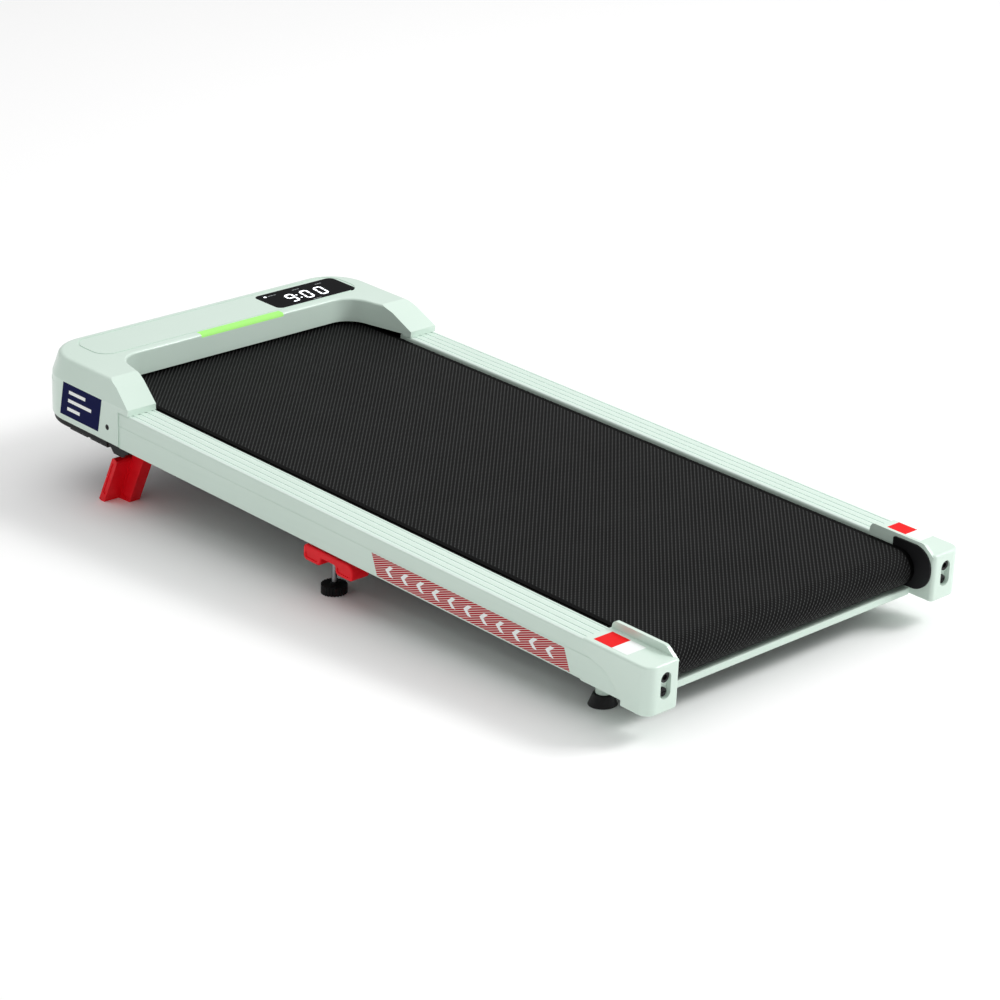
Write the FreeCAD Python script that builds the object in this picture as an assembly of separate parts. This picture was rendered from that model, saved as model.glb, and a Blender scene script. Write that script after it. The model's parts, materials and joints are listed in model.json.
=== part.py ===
import FreeCAD, Part
import math
import os

# Walking pad on folded-out front legs: two rails carry a deck, a belt runs round two rollers,
# and a hood at the front holds the motor. Modelled level, with x = 0 at the rear caps' rear face,
# the hood towards -x, z = 0 at the rails' top and the left side at -y, then set on its feet.
# Lengths are in millimetres.

# Whole pad
pad_length = 1090.0
pad_width = 500.0
incline_deg = 3.0

# Gaps and cuts that all pieces share
fit_gap = 0.2
running_gap = 0.05
motion_gap = 0.5
overrun = 2.0
same_point = 1e-6

# Side rails
rail_width = 43.0
rail_height = 48.6
rail_wall = 3.0
rail_round = 3.0
rail_side_inset = 1.5
rail_groove_count = 4
rail_groove_width = 3.2
rail_groove_depth = 0.9
rail_ridge_margin = 6.0
rail_side_groove_drop = 17.0
rail_side_groove_width = 1.6
rail_side_groove_depth = 0.3

# Walking belt and rollers
belt_side_gap = 7.0
belt_thickness = 1.5
belt_drop = 2.5
belt_slack_gap = 0.3
roller_radius = 20.0
roller_overhang = 1.0
roller_wall = 6.0
axle_radius = 6.0
bearing_width = 8.0
front_roller_setback = 84.0
rear_roller_setback = 47.0

# Deck, cushions and cross members
deck_thickness = 14.0
deck_end_gap = 5.0
deck_side_gap = 1.0
cushion_height = 3.7
cushion_length = 60.0
cushion_width = 24.0
cushion_side_gap = 27.0
member_width = 30.0
member_height = 18.0
member_wall = 2.0
member_end_margin = 105.0
member_count = 4

# Hood cover
hood_rise = 34.0
hood_wall = 3.0
hood_setback = 4.0
hood_corner = 62.0
hood_break_rise = 7.0
hood_draft = 9.0
hood_edge_round = 7.0
hood_seam_drop = 2.0
hood_side_length = 182.0
hood_depth = 102.0
well_corner = 34.0
well_draft = 1.5
well_edge_round = 3.0
well_gap_rise = 2.5
arm_length = 100.0
arm_end_rise = 6.5
arm_flare = 22.0
arm_foot_length = 12.0
ramp_top_length = 51.0
ramp_knee_length = 69.0
ramp_knee_rise = 27.0
ramp_knee_round = 20.0
panel_groove_width = 2.6
panel_groove_depth = 0.8
panel_margin = 1.5
panel_rear_margin = 0.5
panel_end_margin = 29.0
panel_round = 24.0

# Hood base and bottom tray
base_corner = 66.0
base_wall = 3.5
base_drop = 47.0
base_round = 3.0
base_lip_width = 8.0
base_lip_height = 3.0
tray_drop = 55.0
tray_floor = 5.0
tray_wall = 3.0
tray_inset = 2.5
tray_rear_gap = 1.5
tray_round = 3.0
tray_pad_length = 36.0
tray_pad_width = 8.0
tray_pad_height = 2.0
tray_pad_spacing = 42.0
tray_pad_setback = 75.0

# Display and light bar in the hood's top
display_length = 133.0
display_width = 56.0
display_round = 9.0
display_side_margin = 35.5
display_setback = 25.5
display_board_margin = 2.0
display_board_height = 4.0
light_bar_length = 134.0
light_bar_width = 12.0
light_bar_fall = 4.5
light_bar_centre_y = 9.0
light_board_height = 2.0
light_board_margin = 0.6

# Front frame inside the hood
plate_thickness = 4.0
plate_inset = 20.0
plate_front_setback = 30.0
spigot_length = 48.0
spigot_wall = 3.0
base_plate_thickness = 3.0
base_plate_inset = 14.0
base_plate_length = 56.0

# Drive
pulley_width = 16.0
pulley_gap = 5.0
roller_pulley_radius = 21.0
pulley_hub_radius = 17.0
pulley_groove_count = 5
pulley_groove_depth = 1.2
motor_pulley_radius = 9.0
drive_belt_thickness = 2.5
drive_belt_inset = 1.0
motor_radius = 26.0
motor_inlet_gap = 27.0
motor_cap_length = 14.0
motor_cap_radius = 22.0
motor_setback = 35.0
motor_drop = 9.0
motor_shaft_radius = 4.0
motor_side_gap = 10.0
bracket_width = 30.0
bracket_end_margin = 20.0
bracket_grip_share = 0.55
controller_side_margin = 50.0
controller_width = 44.0
controller_height = 38.0
controller_wall = 2.0
controller_setback = 10.0
controller_start_y = 60.0
board_thickness = 1.6
board_rise = 6.0
board_post_radius = 4.0
sink_height = 18.0
sink_width_share = 0.35
sink_length_share = 0.4
capacitor_radius = 8.0
capacitor_height = 22.0

# Mains inlet, switch and reset breaker on the hood's front
socket_drop = 25.0
inlet_centre_y = -45.0
inlet_width = 28.0
inlet_height = 21.0
inlet_depth = 24.0
flange_width = 4.0
flange_thickness = 2.0
inlet_wall = 2.5
inlet_floor = 4.0
inlet_pin_length = 14.0
inlet_pin_width = 4.0
inlet_pin_thickness = 2.0
inlet_pin_spacing = 7.0
inlet_round = 3.0
switch_centre_y = 2.0
switch_width = 20.0
switch_height = 13.5
switch_depth = 16.0
switch_wall = 1.5
rocker_rise = 3.0
rocker_depth = 9.0
rocker_axle_radius = 1.5
breaker_centre_y = 38.0
breaker_radius = 6.5
breaker_depth = 26.0
breaker_flange_radius = 9.0
button_radius = 4.0
button_length = 12.0
button_proud = 4.0
button_travel = 2.0

# Screw on each side of the hood
side_screw_radius = 3.6
side_screw_shank_radius = 2.5
side_screw_setback = 160.0
side_screw_drop = 26.4
side_screw_head = 1.6
side_screw_socket_radius = 1.6

# Rear caps, tension blocks and bolts
cap_length = 98.0
cap_width = 46.0
cap_height = 57.0
cap_rise = 1.5
cap_corner = 14.0
cap_round = 3.0
cap_seam_drop = 14.0
cap_seam_bend = 24.0
cap_seam_round = 1.2
cap_spigot_length = 30.0
cap_step_setback = 39.0
cap_knee_setback = 62.0
cap_knee_drop = 25.0
cap_knee_round = 60.0
cap_lip_width = 4.5
cap_lip_rise = 11.0
cap_lip_root = 3.0
cap_lip_lean = 3.0
cap_lip_front_round = 7.0
cap_lip_slope_length = 16.0
cap_lip_rear_gap = 2.0
cap_lip_rear_round = 8.0
recess_width = 15.0
recess_height = 31.0
recess_depth = 6.0
recess_drop = 24.0
bolt_inset = 25.8
bolt_drop = 15.0
bolt_radius = 3.0
bolt_head_radius = 6.0
bolt_head_length = 4.0
bolt_socket_radius = 3.2
bolt_socket_depth = 2.5
cap_screw_drop = 32.5
cap_screw_radius = 2.0
cap_screw_head_radius = 5.0
cap_screw_head_length = 2.5
cap_screw_length = 12.0
cap_screw_slot_width = 1.0
block_length = 26.0
block_height = 26.0
block_width = 28.0
block_top_drop = 9.5
block_travel = 12.0

# Dark guards on the caps' inner faces, round the rear roller's ends
guard_thickness = 2.4
guard_length = 56.0
guard_rear_gap = 4.0
guard_rise = 7.0
guard_drop = 46.0
guard_rear_round = 25.0
guard_front_round = 2.0
guard_hole_radius = 11.0

# Rear crossbar and the crossbars under the rails
rear_bar_width = 20.0
rear_bar_height = 9.0
rear_bar_gap = 2.0
rear_bar_setback = 33.0
rear_bar_round = 2.0
under_bar_width = 40.0
under_bar_height = 12.0
under_bar_inset = 24.0
under_bar_wall = 2.0

# Rear feet
rear_foot_setback = 110.0
rear_foot_inset = 48.0
rear_foot_drop = 46.5
rear_foot_radius = 17.0
rear_foot_top_radius = 11.0
rear_foot_height = 14.0
rear_foot_round = 2.0
rear_spacer_radius = 9.0

# Mid levelling feet
mid_foot_offset = 59.5
mid_foot_inset = 37.0
knob_radius = 15.6
knob_height = 14.0
knob_flute_count = 24
knob_flute_radius = 1.1
knob_neck_radius = 5.0
knob_neck_height = 3.0
screw_radius = 3.0
screw_thread_depth = 0.45
screw_pitch = 2.0
nut_radius = 7.0
nut_length = 11.4
screw_reach = 2.6

# Front legs
front_leg_setback = 176.5
front_leg_drop = 64.0
front_leg_lean_deg = 24.5
leg_rib_inset = 53.0
leg_rib_depth = 16.0
leg_rib_thickness = 20.0
leg_flange_depth = 38.0
leg_flange_thickness = 10.5
leg_flange_start = 19.0
leg_flange_round = 4.0
leg_panel_margin = 3.0
leg_panel_depth = 1.0
hinge_pin_radius = 4.0
lug_thickness = 6.0
pin_skin = 3.0
leg_plate_thickness = 4.0
leg_plate_length = 40.0
leg_plate_inset = 4.0
leg_skirt_thickness = 3.0
leg_skirt_drop = 7.0
leg_skirt_slope = 7.0
leg_skirt_inset = 4.0
leg_skirt_round = 2.0
pin_head_radius = 6.0
pin_head_length = 1.5

# Mid legs
mid_leg_setback = 481.5
mid_leg_drop = 62.0
mid_leg_length = 87.0
mid_leg_inset = 4.0
mid_leg_depth = 16.0
mid_leg_boss_depth = 25.0
mid_leg_boss_length = 27.0
mid_leg_bar_height = 9.5
mid_leg_lobe_height = 10.5
mid_leg_notch_width = 26.0
mid_leg_end_radius = 10.0
mid_leg_lobe_round = 6.0
mid_leg_notch_round = 3.0
mid_leg_edge_round = 2.2
mid_leg_panel_margin = 4.0
mid_leg_panel_depth = 1.0

# Transport wheels
wheel_radius = 14.0
wheel_width = 12.0
wheel_setback = 40.0
wheel_drop = 47.0
wheel_tyre_round = 2.0
wheel_groove_width = 3.0
wheel_groove_depth = 1.0
wheel_axle_radius = 3.0
wheel_gap = 4.0

# Vibration motor under the deck
shaker_radius = 11.0
shaker_length = 90.0
shaker_drop = 31.0
shaker_foot_length = 30.0
shaker_foot_width = 40.0
shaker_shaft_radius = 3.0
weight_radius = 9.0
weight_length = 12.0

V = FreeCAD.Vector
X_AXIS = V(1, 0, 0)
Y_AXIS = V(0, 1, 0)
Z_AXIS = V(0, 0, 1)

# Places that follow from the sizes above
half_width = pad_width / 2
rail_inner = half_width - rail_width
rail_outer = half_width - rail_side_inset
cap_inner = half_width - cap_width
belt_width = 2 * (rail_inner - belt_side_gap)
roller_length = belt_width + 2 * roller_overhang
cushion_spacing = rail_inner - cushion_side_gap - cushion_length / 2
display_centre_y = half_width - display_side_margin - display_length / 2
rear_foot_y = half_width - rear_foot_inset
mid_foot_y = half_width - mid_foot_inset
leg_rib_y = half_width - leg_rib_inset
base_front = -pad_length
hood_front = base_front + hood_setback
rail_front = base_front + hood_side_length
rail_rear = -cap_length
well_front = base_front + hood_depth
arm_end = well_front + arm_length
belt_outer_radius = roller_radius + belt_slack_gap + belt_thickness
roller_z = -belt_drop - belt_outer_radius
front_roller_x = base_front + front_roller_setback
rear_roller_x = -rear_roller_setback
belt_bottom = roller_z - belt_outer_radius
deck_top = roller_z + roller_radius + belt_slack_gap
deck_bottom = deck_top - deck_thickness
member_top = deck_bottom - cushion_height
plate_outer = half_width - plate_inset
plate_inner = plate_outer - plate_thickness
tray_top = -tray_drop + tray_floor
base_plate_top = tray_top + base_plate_thickness
pulley_start = roller_length / 2 + pulley_gap
pulley_end = pulley_start + pulley_width
motor_x = base_front + motor_setback
motor_z = -motor_drop
motor_end = -roller_length / 2 + motor_side_gap / 2
motor_length = inlet_centre_y - inlet_width / 2 - motor_inlet_gap - motor_end
bracket_length = motor_length - 2 * bracket_end_margin
controller_length = half_width - controller_side_margin - controller_start_y
under_bar_bottom = -rail_height - under_bar_height
rear_bar_top = belt_bottom - rear_bar_gap
hinge_x = base_front + front_leg_setback
hinge_z = -front_leg_drop
mid_hinge_x = -mid_leg_setback
mid_hinge_z = -mid_leg_drop
wheel_x = base_front + wheel_setback
wheel_z = -wheel_drop
wheel_y = plate_inner - wheel_gap - wheel_width / 2
bolt_y = half_width - bolt_inset
rear_foot_x = -rear_foot_setback
mid_foot_x = mid_hinge_x - mid_foot_offset
floor_slope = math.tan(math.radians(incline_deg))


def floor_height(x):
    """The floor under the inclined pad, in the level frame of the rails."""
    return -rail_height - rear_foot_drop + (x - rear_foot_x) * floor_slope


def block(x0, x1, y0, y1, z0, z1):
    corner = V(min(x0, x1), min(y0, y1), min(z0, z1))
    return Part.makeBox(abs(x1 - x0), abs(y1 - y0), abs(z1 - z0), corner)


def rod_x(x0, x1, y, z, radius):
    return Part.makeCylinder(radius, abs(x1 - x0), V(min(x0, x1), y, z), X_AXIS)


def rod_y(x, y0, y1, z, radius):
    return Part.makeCylinder(radius, abs(y1 - y0), V(x, min(y0, y1), z), Y_AXIS)


def rod_z(x, y, z0, z1, radius):
    return Part.makeCylinder(radius, abs(z1 - z0), V(x, y, min(z0, z1)), Z_AXIS)


def seen_from_above(z):
    return lambda u, v: V(u, v, z)


def seen_from_side(y):
    return lambda u, v: V(u, y, v)


def seen_from_front(x):
    return lambda u, v: V(x, u, v)


def rounded_wire(corners, place):
    """A closed wire through corners (u, v, radius), each rounded by its own arc."""
    spots = [place(u, v) for u, v, radius in corners]
    starts, middles, ends = [], [], []
    for index, (u, v, radius) in enumerate(corners):
        here = spots[index]
        back = spots[index - 1] - here
        ahead = spots[(index + 1) % len(spots)] - here
        back.normalize()
        ahead.normalize()
        half = back.getAngle(ahead) / 2
        inward = back + ahead
        if radius > 0:
            inward.normalize()
            reach = radius / math.tan(half)
            centre = here + inward * (radius / math.sin(half))
            starts.append(here + back * reach)
            middles.append(centre - inward * radius)
            ends.append(here + ahead * reach)
        else:
            starts.append(here)
            middles.append(None)
            ends.append(here)
    edges = []
    for index in range(len(corners)):
        if (starts[index] - ends[index - 1]).Length > same_point:
            edges.append(Part.makeLine(ends[index - 1], starts[index]))
        if middles[index] is not None:
            edges.append(Part.Arc(starts[index], middles[index], ends[index]).toShape())
    return Part.Wire(edges)


def prism(corners, place, travel):
    return Part.Face(rounded_wire(corners, place)).extrude(travel)


def rectangle(u0, u1, v0, v1, radius):
    return [(u0, v0, radius), (u1, v0, radius), (u1, v1, radius), (u0, v1, radius)]


def join(shapes):
    whole = shapes[0]
    if len(shapes) > 1:
        whole = whole.fuse(shapes[1:])
    return whole.removeSplitter()


def rounded(shape, radius, wanted):
    """The shape with a round of this radius on each edge that the test picks."""
    return shape.makeFillet(radius, [edge for edge in shape.Edges if wanted(edge)])


def lies_at_height(edge, z):
    near = same_point * pad_length
    return abs(edge.BoundBox.ZMin - z) < near and edge.BoundBox.ZLength < near


def runs_along(edge, axis):
    lengths = (edge.BoundBox.XLength, edge.BoundBox.YLength, edge.BoundBox.ZLength)
    across = [length for index, length in enumerate(lengths) if index != axis]
    return max(across) < same_point * pad_length


def other_side(shape):
    """The right-hand twin of a left-hand piece."""
    return shape.mirror(V(0, 0, 0), Y_AXIS)


def both_sides(shape):
    return Part.makeCompound([shape, other_side(shape)])


def above_floor(shape):
    """The shape with its sole cut flat along the floor."""
    reach = pad_length + pad_width
    ground = Part.makeBox(reach * 2, reach, pad_width, V(-reach, -reach / 2, -pad_width))
    ground.rotate(V(0, 0, 0), Y_AXIS, -incline_deg)
    ground.translate(V(rear_foot_x, 0, floor_height(rear_foot_x)))
    return shape.cut(ground)


# Side rails

def side_rail():
    outer = rectangle(-rail_outer, -rail_inner, -rail_height, 0, rail_round)
    rail = prism(outer, seen_from_front(rail_front), V(rail_rear - rail_front, 0, 0))
    rail = rail.cut(rail_hollow(rail_front - overrun, rail_rear + overrun, 0))
    rail = rail.fuse(rail_tail(0)).removeSplitter()
    ridge_span = rail_outer - rail_inner - 2 * rail_ridge_margin
    step = ridge_span / (rail_groove_count - 1)
    for index in range(rail_groove_count):
        centre = -rail_outer + rail_ridge_margin + step * index
        low = centre - rail_groove_width / 2
        high = centre + rail_groove_width / 2
        rail = rail.cut(block(rail_front - overrun, rail_rear + overrun, low, high,
                              -rail_groove_depth, overrun))
    groove_low = -rail_side_groove_drop - rail_side_groove_width
    return rail.cut(block(rail_front - overrun, 0, -half_width - overrun,
                          -rail_outer + rail_side_groove_depth, groove_low, -rail_side_groove_drop))


def rail_tail(gap):
    """The rail's outer wall, carried back below the cap's slanted front edge."""
    end = -cap_step_setback + gap
    corners = [
        (rail_rear - overrun, -rail_height, 0),
        (end, -rail_height, 0),
        (-cap_knee_setback + gap, -cap_knee_drop + gap, cap_knee_round),
        (rail_rear + gap, -rail_round + gap, 0),
        (rail_rear - overrun, -rail_round + gap, 0),
    ]
    inner = -rail_outer + rail_wall + gap
    return prism(corners, seen_from_side(-rail_outer - gap), V(0, inner + rail_outer + gap, 0))


def rail_hollow(x0, x1, clearance):
    """What fills the left rail's inside between two places, smaller all round by the clearance."""
    edge = rail_wall + clearance
    return block(x0, x1, -rail_outer + edge, -rail_inner - edge, -rail_height + edge, -edge)


# Belt, rollers, axles and bearings

def loop_between(first, first_radius, second, second_radius, y0, y1):
    """A solid slab with the outline of a belt round two pulleys, seen from the side."""
    apart = second - first
    span = apart.Length
    along = V(apart).normalize()
    up = Y_AXIS.cross(along)
    lean = math.asin((first_radius - second_radius) / span)
    upper = along * math.sin(lean) + up * math.cos(lean)
    lower = along * math.sin(lean) - up * math.cos(lean)
    edges = [
        Part.makeLine(first + upper * first_radius, second + upper * second_radius),
        Part.Arc(second + upper * second_radius, second + along * second_radius,
                 second + lower * second_radius).toShape(),
        Part.makeLine(second + lower * second_radius, first + lower * first_radius),
        Part.Arc(first + lower * first_radius, first - along * first_radius,
                 first + upper * first_radius).toShape(),
    ]
    slab = Part.Face(Part.Wire(edges)).extrude(V(0, y1 - y0, 0))
    slab.translate(V(0, y0, 0))
    return slab


def walking_belt():
    front = V(front_roller_x, 0, roller_z)
    rear = V(rear_roller_x, 0, roller_z)
    half = belt_width / 2
    inner = belt_outer_radius - belt_thickness
    outside = loop_between(front, belt_outer_radius, rear, belt_outer_radius, -half, half)
    inside = loop_between(front, inner, rear, inner, -half - overrun, half + overrun)
    return outside.cut(inside)


def roller(x):
    half = roller_length / 2
    bore = roller_radius - roller_wall
    return rod_y(x, -half, half, roller_z, roller_radius).cut(rod_y(x, -half, half, roller_z, bore))


def axle(x, reach):
    return rod_y(x, -reach, reach, roller_z, axle_radius)


def roller_bearings():
    outer = roller_radius - roller_wall - running_gap
    end = roller_length / 2
    rings = []
    for x in (front_roller_x, rear_roller_x):
        ring = rod_y(x, -end, -end + bearing_width, roller_z, outer)
        ring = ring.cut(rod_y(x, -end, -end + bearing_width, roller_z, axle_radius + running_gap))
        rings.extend([ring, other_side(ring)])
    return Part.makeCompound(rings)


# Deck and what carries it

def member_places():
    first = rail_front + member_end_margin / 2
    last = rail_rear - member_end_margin / 2
    step = (last - first) / (member_count - 1)
    return [first + step * index for index in range(member_count)]


def deck_board():
    front = front_roller_x + belt_outer_radius + deck_end_gap
    rear = rear_roller_x - belt_outer_radius - deck_end_gap
    half = cap_inner - deck_side_gap
    return block(front, rear, -half, half, deck_bottom, deck_top)


def cross_members():
    bars = []
    for x in member_places():
        low = x - member_width / 2
        high = x + member_width / 2
        bottom = member_top - member_height
        bar = block(low, high, -rail_inner, rail_inner, bottom, member_top)
        hollow = block(low + member_wall, high - member_wall, -rail_inner, rail_inner,
                       bottom + member_wall, member_top - member_wall)
        bars.append(bar.cut(hollow))
    return Part.makeCompound(bars)


def deck_cushions():
    pads = []
    for x in member_places():
        for y in (-cushion_spacing, 0, cushion_spacing):
            pads.append(block(x - cushion_width / 2, x + cushion_width / 2, y - cushion_length / 2,
                              y + cushion_length / 2, member_top, deck_bottom))
    return Part.makeCompound(pads)


# Crossbars under the rails, and the rear crossbar between the caps

def under_crossbars():
    bars = []
    reach = half_width - under_bar_inset
    for x in (mid_foot_x, rear_foot_x):
        low = x - under_bar_width / 2
        high = x + under_bar_width / 2
        bar = block(low, high, -reach, reach, under_bar_bottom, -rail_height)
        hollow = block(low + under_bar_wall, high - under_bar_wall, -reach, reach,
                       under_bar_bottom + under_bar_wall, -rail_height - under_bar_wall)
        bar = bar.cut(hollow)
        if x == mid_foot_x:
            for side in (-1, 1):
                y = side * mid_foot_y
                nut_bottom = under_bar_bottom - nut_length
                bar = bar.fuse(rod_z(x, y, nut_bottom, -rail_height - under_bar_wall, nut_radius))
                bar = bar.cut(rod_z(x, y, nut_bottom - overrun, -rail_height, screw_radius + running_gap))
        bars.append(bar.removeSplitter())
    return Part.makeCompound(bars)


def rear_crossbar():
    reach = cap_inner
    rear = -rear_bar_setback
    section = rectangle(rear - rear_bar_width, rear, rear_bar_top - rear_bar_height, rear_bar_top,
                        rear_bar_round)
    return prism(section, seen_from_side(-reach), V(0, 2 * reach, 0))


# Hood cover

def hood_plan(outer_inset, well_inset, rear):
    """The hood from above: a broad front with two arms that lie back over the rails."""
    front = hood_front + outer_inset
    side = half_width - outer_inset
    corner = hood_corner - outer_inset
    well_side = rail_inner + well_inset
    well_end = well_side - arm_flare
    well_wall = well_front - well_inset
    well_round = well_corner + well_inset
    return [
        (rear, -side, 0),
        (front, -side, corner),
        (front, side, corner),
        (rear, side, 0),
        (rear, well_side, 0),
        (well_wall, well_end, well_round),
        (well_wall, -well_end, well_round),
        (rear, -well_side, 0),
    ]


def hood_body(inset, rear, bottom, top, drop):
    """The hood's mass: upright sides up to a break, then sides that lean in to the top."""
    low = rounded_wire(hood_plan(inset, inset, rear), seen_from_above(bottom))
    upright = Part.Face(low).extrude(V(0, 0, hood_break_rise - bottom))
    broken = rounded_wire(hood_plan(inset, inset, rear), seen_from_above(hood_break_rise))
    lean = (top - hood_break_rise) / (hood_rise - hood_break_rise)
    crown_plan = hood_plan(inset + hood_draft * lean, inset + well_draft * lean, rear)
    crown = rounded_wire(crown_plan, seen_from_above(top))
    leaning = Part.makeLoft([broken, crown], True, True)
    mass = upright.fuse(leaning).removeSplitter()
    if drop == 0:
        mass = rounded(mass, hood_edge_round,
                       lambda edge: on_the_rim(edge, top, rear) and not by_the_well(edge))
        mass = rounded(mass, well_edge_round,
                       lambda edge: on_the_rim(edge, top, rear) and by_the_well(edge))
    return mass.cut(above_the_ramp(drop))


def on_the_rim(edge, top, rear):
    ends_an_arm = abs(edge.BoundBox.XMin - rear) < same_point * pad_length
    return lies_at_height(edge, top) and not ends_an_arm


def by_the_well(edge):
    """Whether an edge of the hood's top belongs to the opening over the belt."""
    reach = max(abs(edge.BoundBox.YMin), abs(edge.BoundBox.YMax))
    within_sides = reach < half_width - hood_draft - hood_edge_round
    return edge.BoundBox.XMin > hood_front + hood_depth / 2 and within_sides


def above_the_ramp(drop):
    """The space over the arms, which slope down from the hood's top to their ends."""
    top = hood_rise - drop
    sky = hood_rise + hood_rise
    reach = half_width + overrun
    corners = [
        (well_front + ramp_top_length, top + overrun, 0),
        (well_front + ramp_top_length, top, 0),
        (well_front + ramp_knee_length, ramp_knee_rise - drop, ramp_knee_round),
        (arm_end + overrun, arm_end_rise - drop, 0),
        (arm_end + overrun, sky, 0),
        (well_front, sky, 0),
        (well_front, top + overrun, 0),
    ]
    return prism(corners, seen_from_side(-reach), V(0, 2 * reach, 0))


def hood_shell():
    """The hood's thin wall, before anything is set into it."""
    seam = -hood_seam_drop
    shell = hood_body(0, arm_end, seam, hood_rise, 0)
    hollow = hood_body(hood_wall, arm_end - hood_wall, seam - overrun, hood_rise - hood_wall, hood_wall)
    shell = shell.cut(hollow)
    shell = shell.cut(block(rail_front, arm_end + overrun, -half_width - overrun, half_width + overrun,
                            seam - overrun, 0))
    reach = rail_inner + hood_wall + overrun
    return shell.cut(block(well_front - hood_wall - overrun, arm_end - arm_foot_length, -reach, reach,
                           seam - overrun, well_gap_rise))


def hood_cover():
    shell = hood_shell()
    shell = shell.cut(display_slab(0, hood_rise - hood_wall - overrun, hood_rise + overrun))
    shell = shell.cut(light_bar_room(0))
    return shell.cut(panel_groove())


def panel_groove():
    """A shallow groove round the flat panel that the display sits in."""
    front = hood_front + hood_draft + hood_edge_round + panel_margin
    rear = well_front - light_bar_width - panel_rear_margin
    right = display_centre_y + display_length / 2 + 2 * panel_groove_width
    left = -half_width + hood_draft + hood_edge_round + panel_end_margin
    bottom = hood_rise - panel_groove_depth
    inner = panel_groove_width
    wide = rectangle(front, rear, left, right, panel_round)
    narrow = rectangle(front + inner, rear - inner, left + inner, right - inner, panel_round - inner)
    up = V(0, 0, panel_groove_depth + overrun)
    return prism(wide, seen_from_above(bottom), up).cut(prism(narrow, seen_from_above(bottom), up))


def display_slab(gap, bottom, top):
    front = hood_front + display_setback + gap
    corners = rectangle(front, front - 2 * gap + display_width, display_centre_y - display_length / 2 + gap,
                        display_centre_y + display_length / 2 - gap, display_round - gap)
    return prism(corners, seen_from_above(bottom), V(0, 0, top - bottom))


def light_bar_room(gap):
    """A stretch of the hood's edge over the belt: a strip of its top and of the wall below that."""
    low = light_bar_centre_y - light_bar_length / 2
    high = light_bar_centre_y + light_bar_length / 2
    return block(well_front - light_bar_width + gap, well_front + overrun, low + gap, high - gap,
                 hood_rise - light_bar_fall + gap, hood_rise + overrun)


def display_window():
    return display_slab(fit_gap, hood_rise - hood_wall, hood_rise)


def light_bar_lens():
    return hood_shell().common(light_bar_room(fit_gap))


def display_boards():
    top = hood_rise - hood_wall
    display = display_slab(-display_board_margin, top - display_board_height, top)
    front = well_front - light_bar_width - light_board_margin
    rear = well_front - hood_wall - 2 * well_draft
    half = light_bar_length / 2 + light_board_margin
    light = block(front, rear, light_bar_centre_y - half, light_bar_centre_y + half,
                  top - light_board_height, top)
    return Part.makeCompound([display, light])


# Hood base and bottom tray

def base_plan(inset, rear):
    side = half_width - inset
    front = base_front + inset
    corner = base_corner - inset
    return [(rear, -side, 0), (front, -side, corner), (front, side, corner), (rear, side, 0)]


def base_prism(inset, rear, bottom, top):
    return prism(base_plan(inset, rear), seen_from_above(bottom), V(0, 0, top - bottom))


def hood_base():
    top = -hood_seam_drop
    mass = base_prism(0, rail_front, -base_drop, top)
    mass = rounded(mass, base_round,
                   lambda edge: lies_at_height(edge, -base_drop)
                   and (not runs_along(edge, 1) or edge.BoundBox.XMax < front_roller_x))
    ring = mass.cut(base_prism(base_wall, rail_front + overrun, -base_drop - overrun, top - base_lip_height))
    ring = ring.cut(base_prism(base_lip_width, rail_front + overrun, top - base_lip_height - overrun,
                               top + overrun))
    inner_front = base_front + base_wall + overrun
    outer_front = base_front - overrun
    ring = ring.cut(block(outer_front, inner_front, inlet_centre_y - inlet_width / 2,
                          inlet_centre_y + inlet_width / 2, -socket_drop - inlet_height / 2,
                          -socket_drop + inlet_height / 2))
    ring = ring.cut(block(outer_front, inner_front, switch_centre_y - switch_width / 2,
                          switch_centre_y + switch_width / 2, -socket_drop - switch_height / 2,
                          -socket_drop + switch_height / 2))
    ring = ring.cut(rod_x(outer_front, inner_front, breaker_centre_y, -socket_drop, breaker_radius))
    for side in (-1, 1):
        y0 = side * (half_width + overrun)
        y1 = side * (half_width - base_wall - overrun)
        ring = ring.cut(rod_y(side_screw_x(), y0, y1, -side_screw_drop,
                              side_screw_shank_radius + running_gap))
        y1 = side * (half_width - side_screw_head)
        ring = ring.cut(rod_y(side_screw_x(), y0, y1, -side_screw_drop, side_screw_radius + running_gap))
    return ring


def side_screw_x():
    return base_front + side_screw_setback


def hood_side_screws():
    x = side_screw_x()
    outer = -half_width
    head = rod_y(x, outer, outer + side_screw_head, -side_screw_drop, side_screw_radius)
    shank = rod_y(x, outer + side_screw_head, -plate_inner, -side_screw_drop, side_screw_shank_radius)
    socket = rod_y(x, outer - overrun, outer + side_screw_head / 2, -side_screw_drop,
                   side_screw_socket_radius)
    return both_sides(head.fuse(shank).removeSplitter().cut(socket))


def bottom_tray():
    rear = hinge_x - leg_plate_length / 2 - tray_rear_gap
    mass = base_prism(tray_inset, rear, -tray_drop, -base_drop)
    mass = rounded(mass, tray_round, lambda edge: lies_at_height(edge, -tray_drop))
    tray = mass.cut(base_prism(tray_inset + tray_wall, rear - tray_wall, tray_top, -base_drop + overrun))
    pads = []
    for side in (-1, 1):
        tray = tray.cut(wheel_well(side))
        for index in range(2):
            x = base_front + tray_pad_setback + index * tray_pad_spacing
            y = side * (half_width - tray_inset - tray_round - tray_pad_width)
            pads.append(block(x, x + tray_pad_length, y, y + side * tray_pad_width,
                              -tray_drop - tray_pad_height, -tray_drop))
    return tray.fuse(pads).removeSplitter()


def wheel_well(side):
    room = wheel_radius + overrun
    half = wheel_width / 2 + overrun
    return block(wheel_x - room, wheel_x + room, side * (wheel_y - half), side * (wheel_y + half),
                 -tray_drop - overrun, base_plate_top + overrun)


# Front frame

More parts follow.
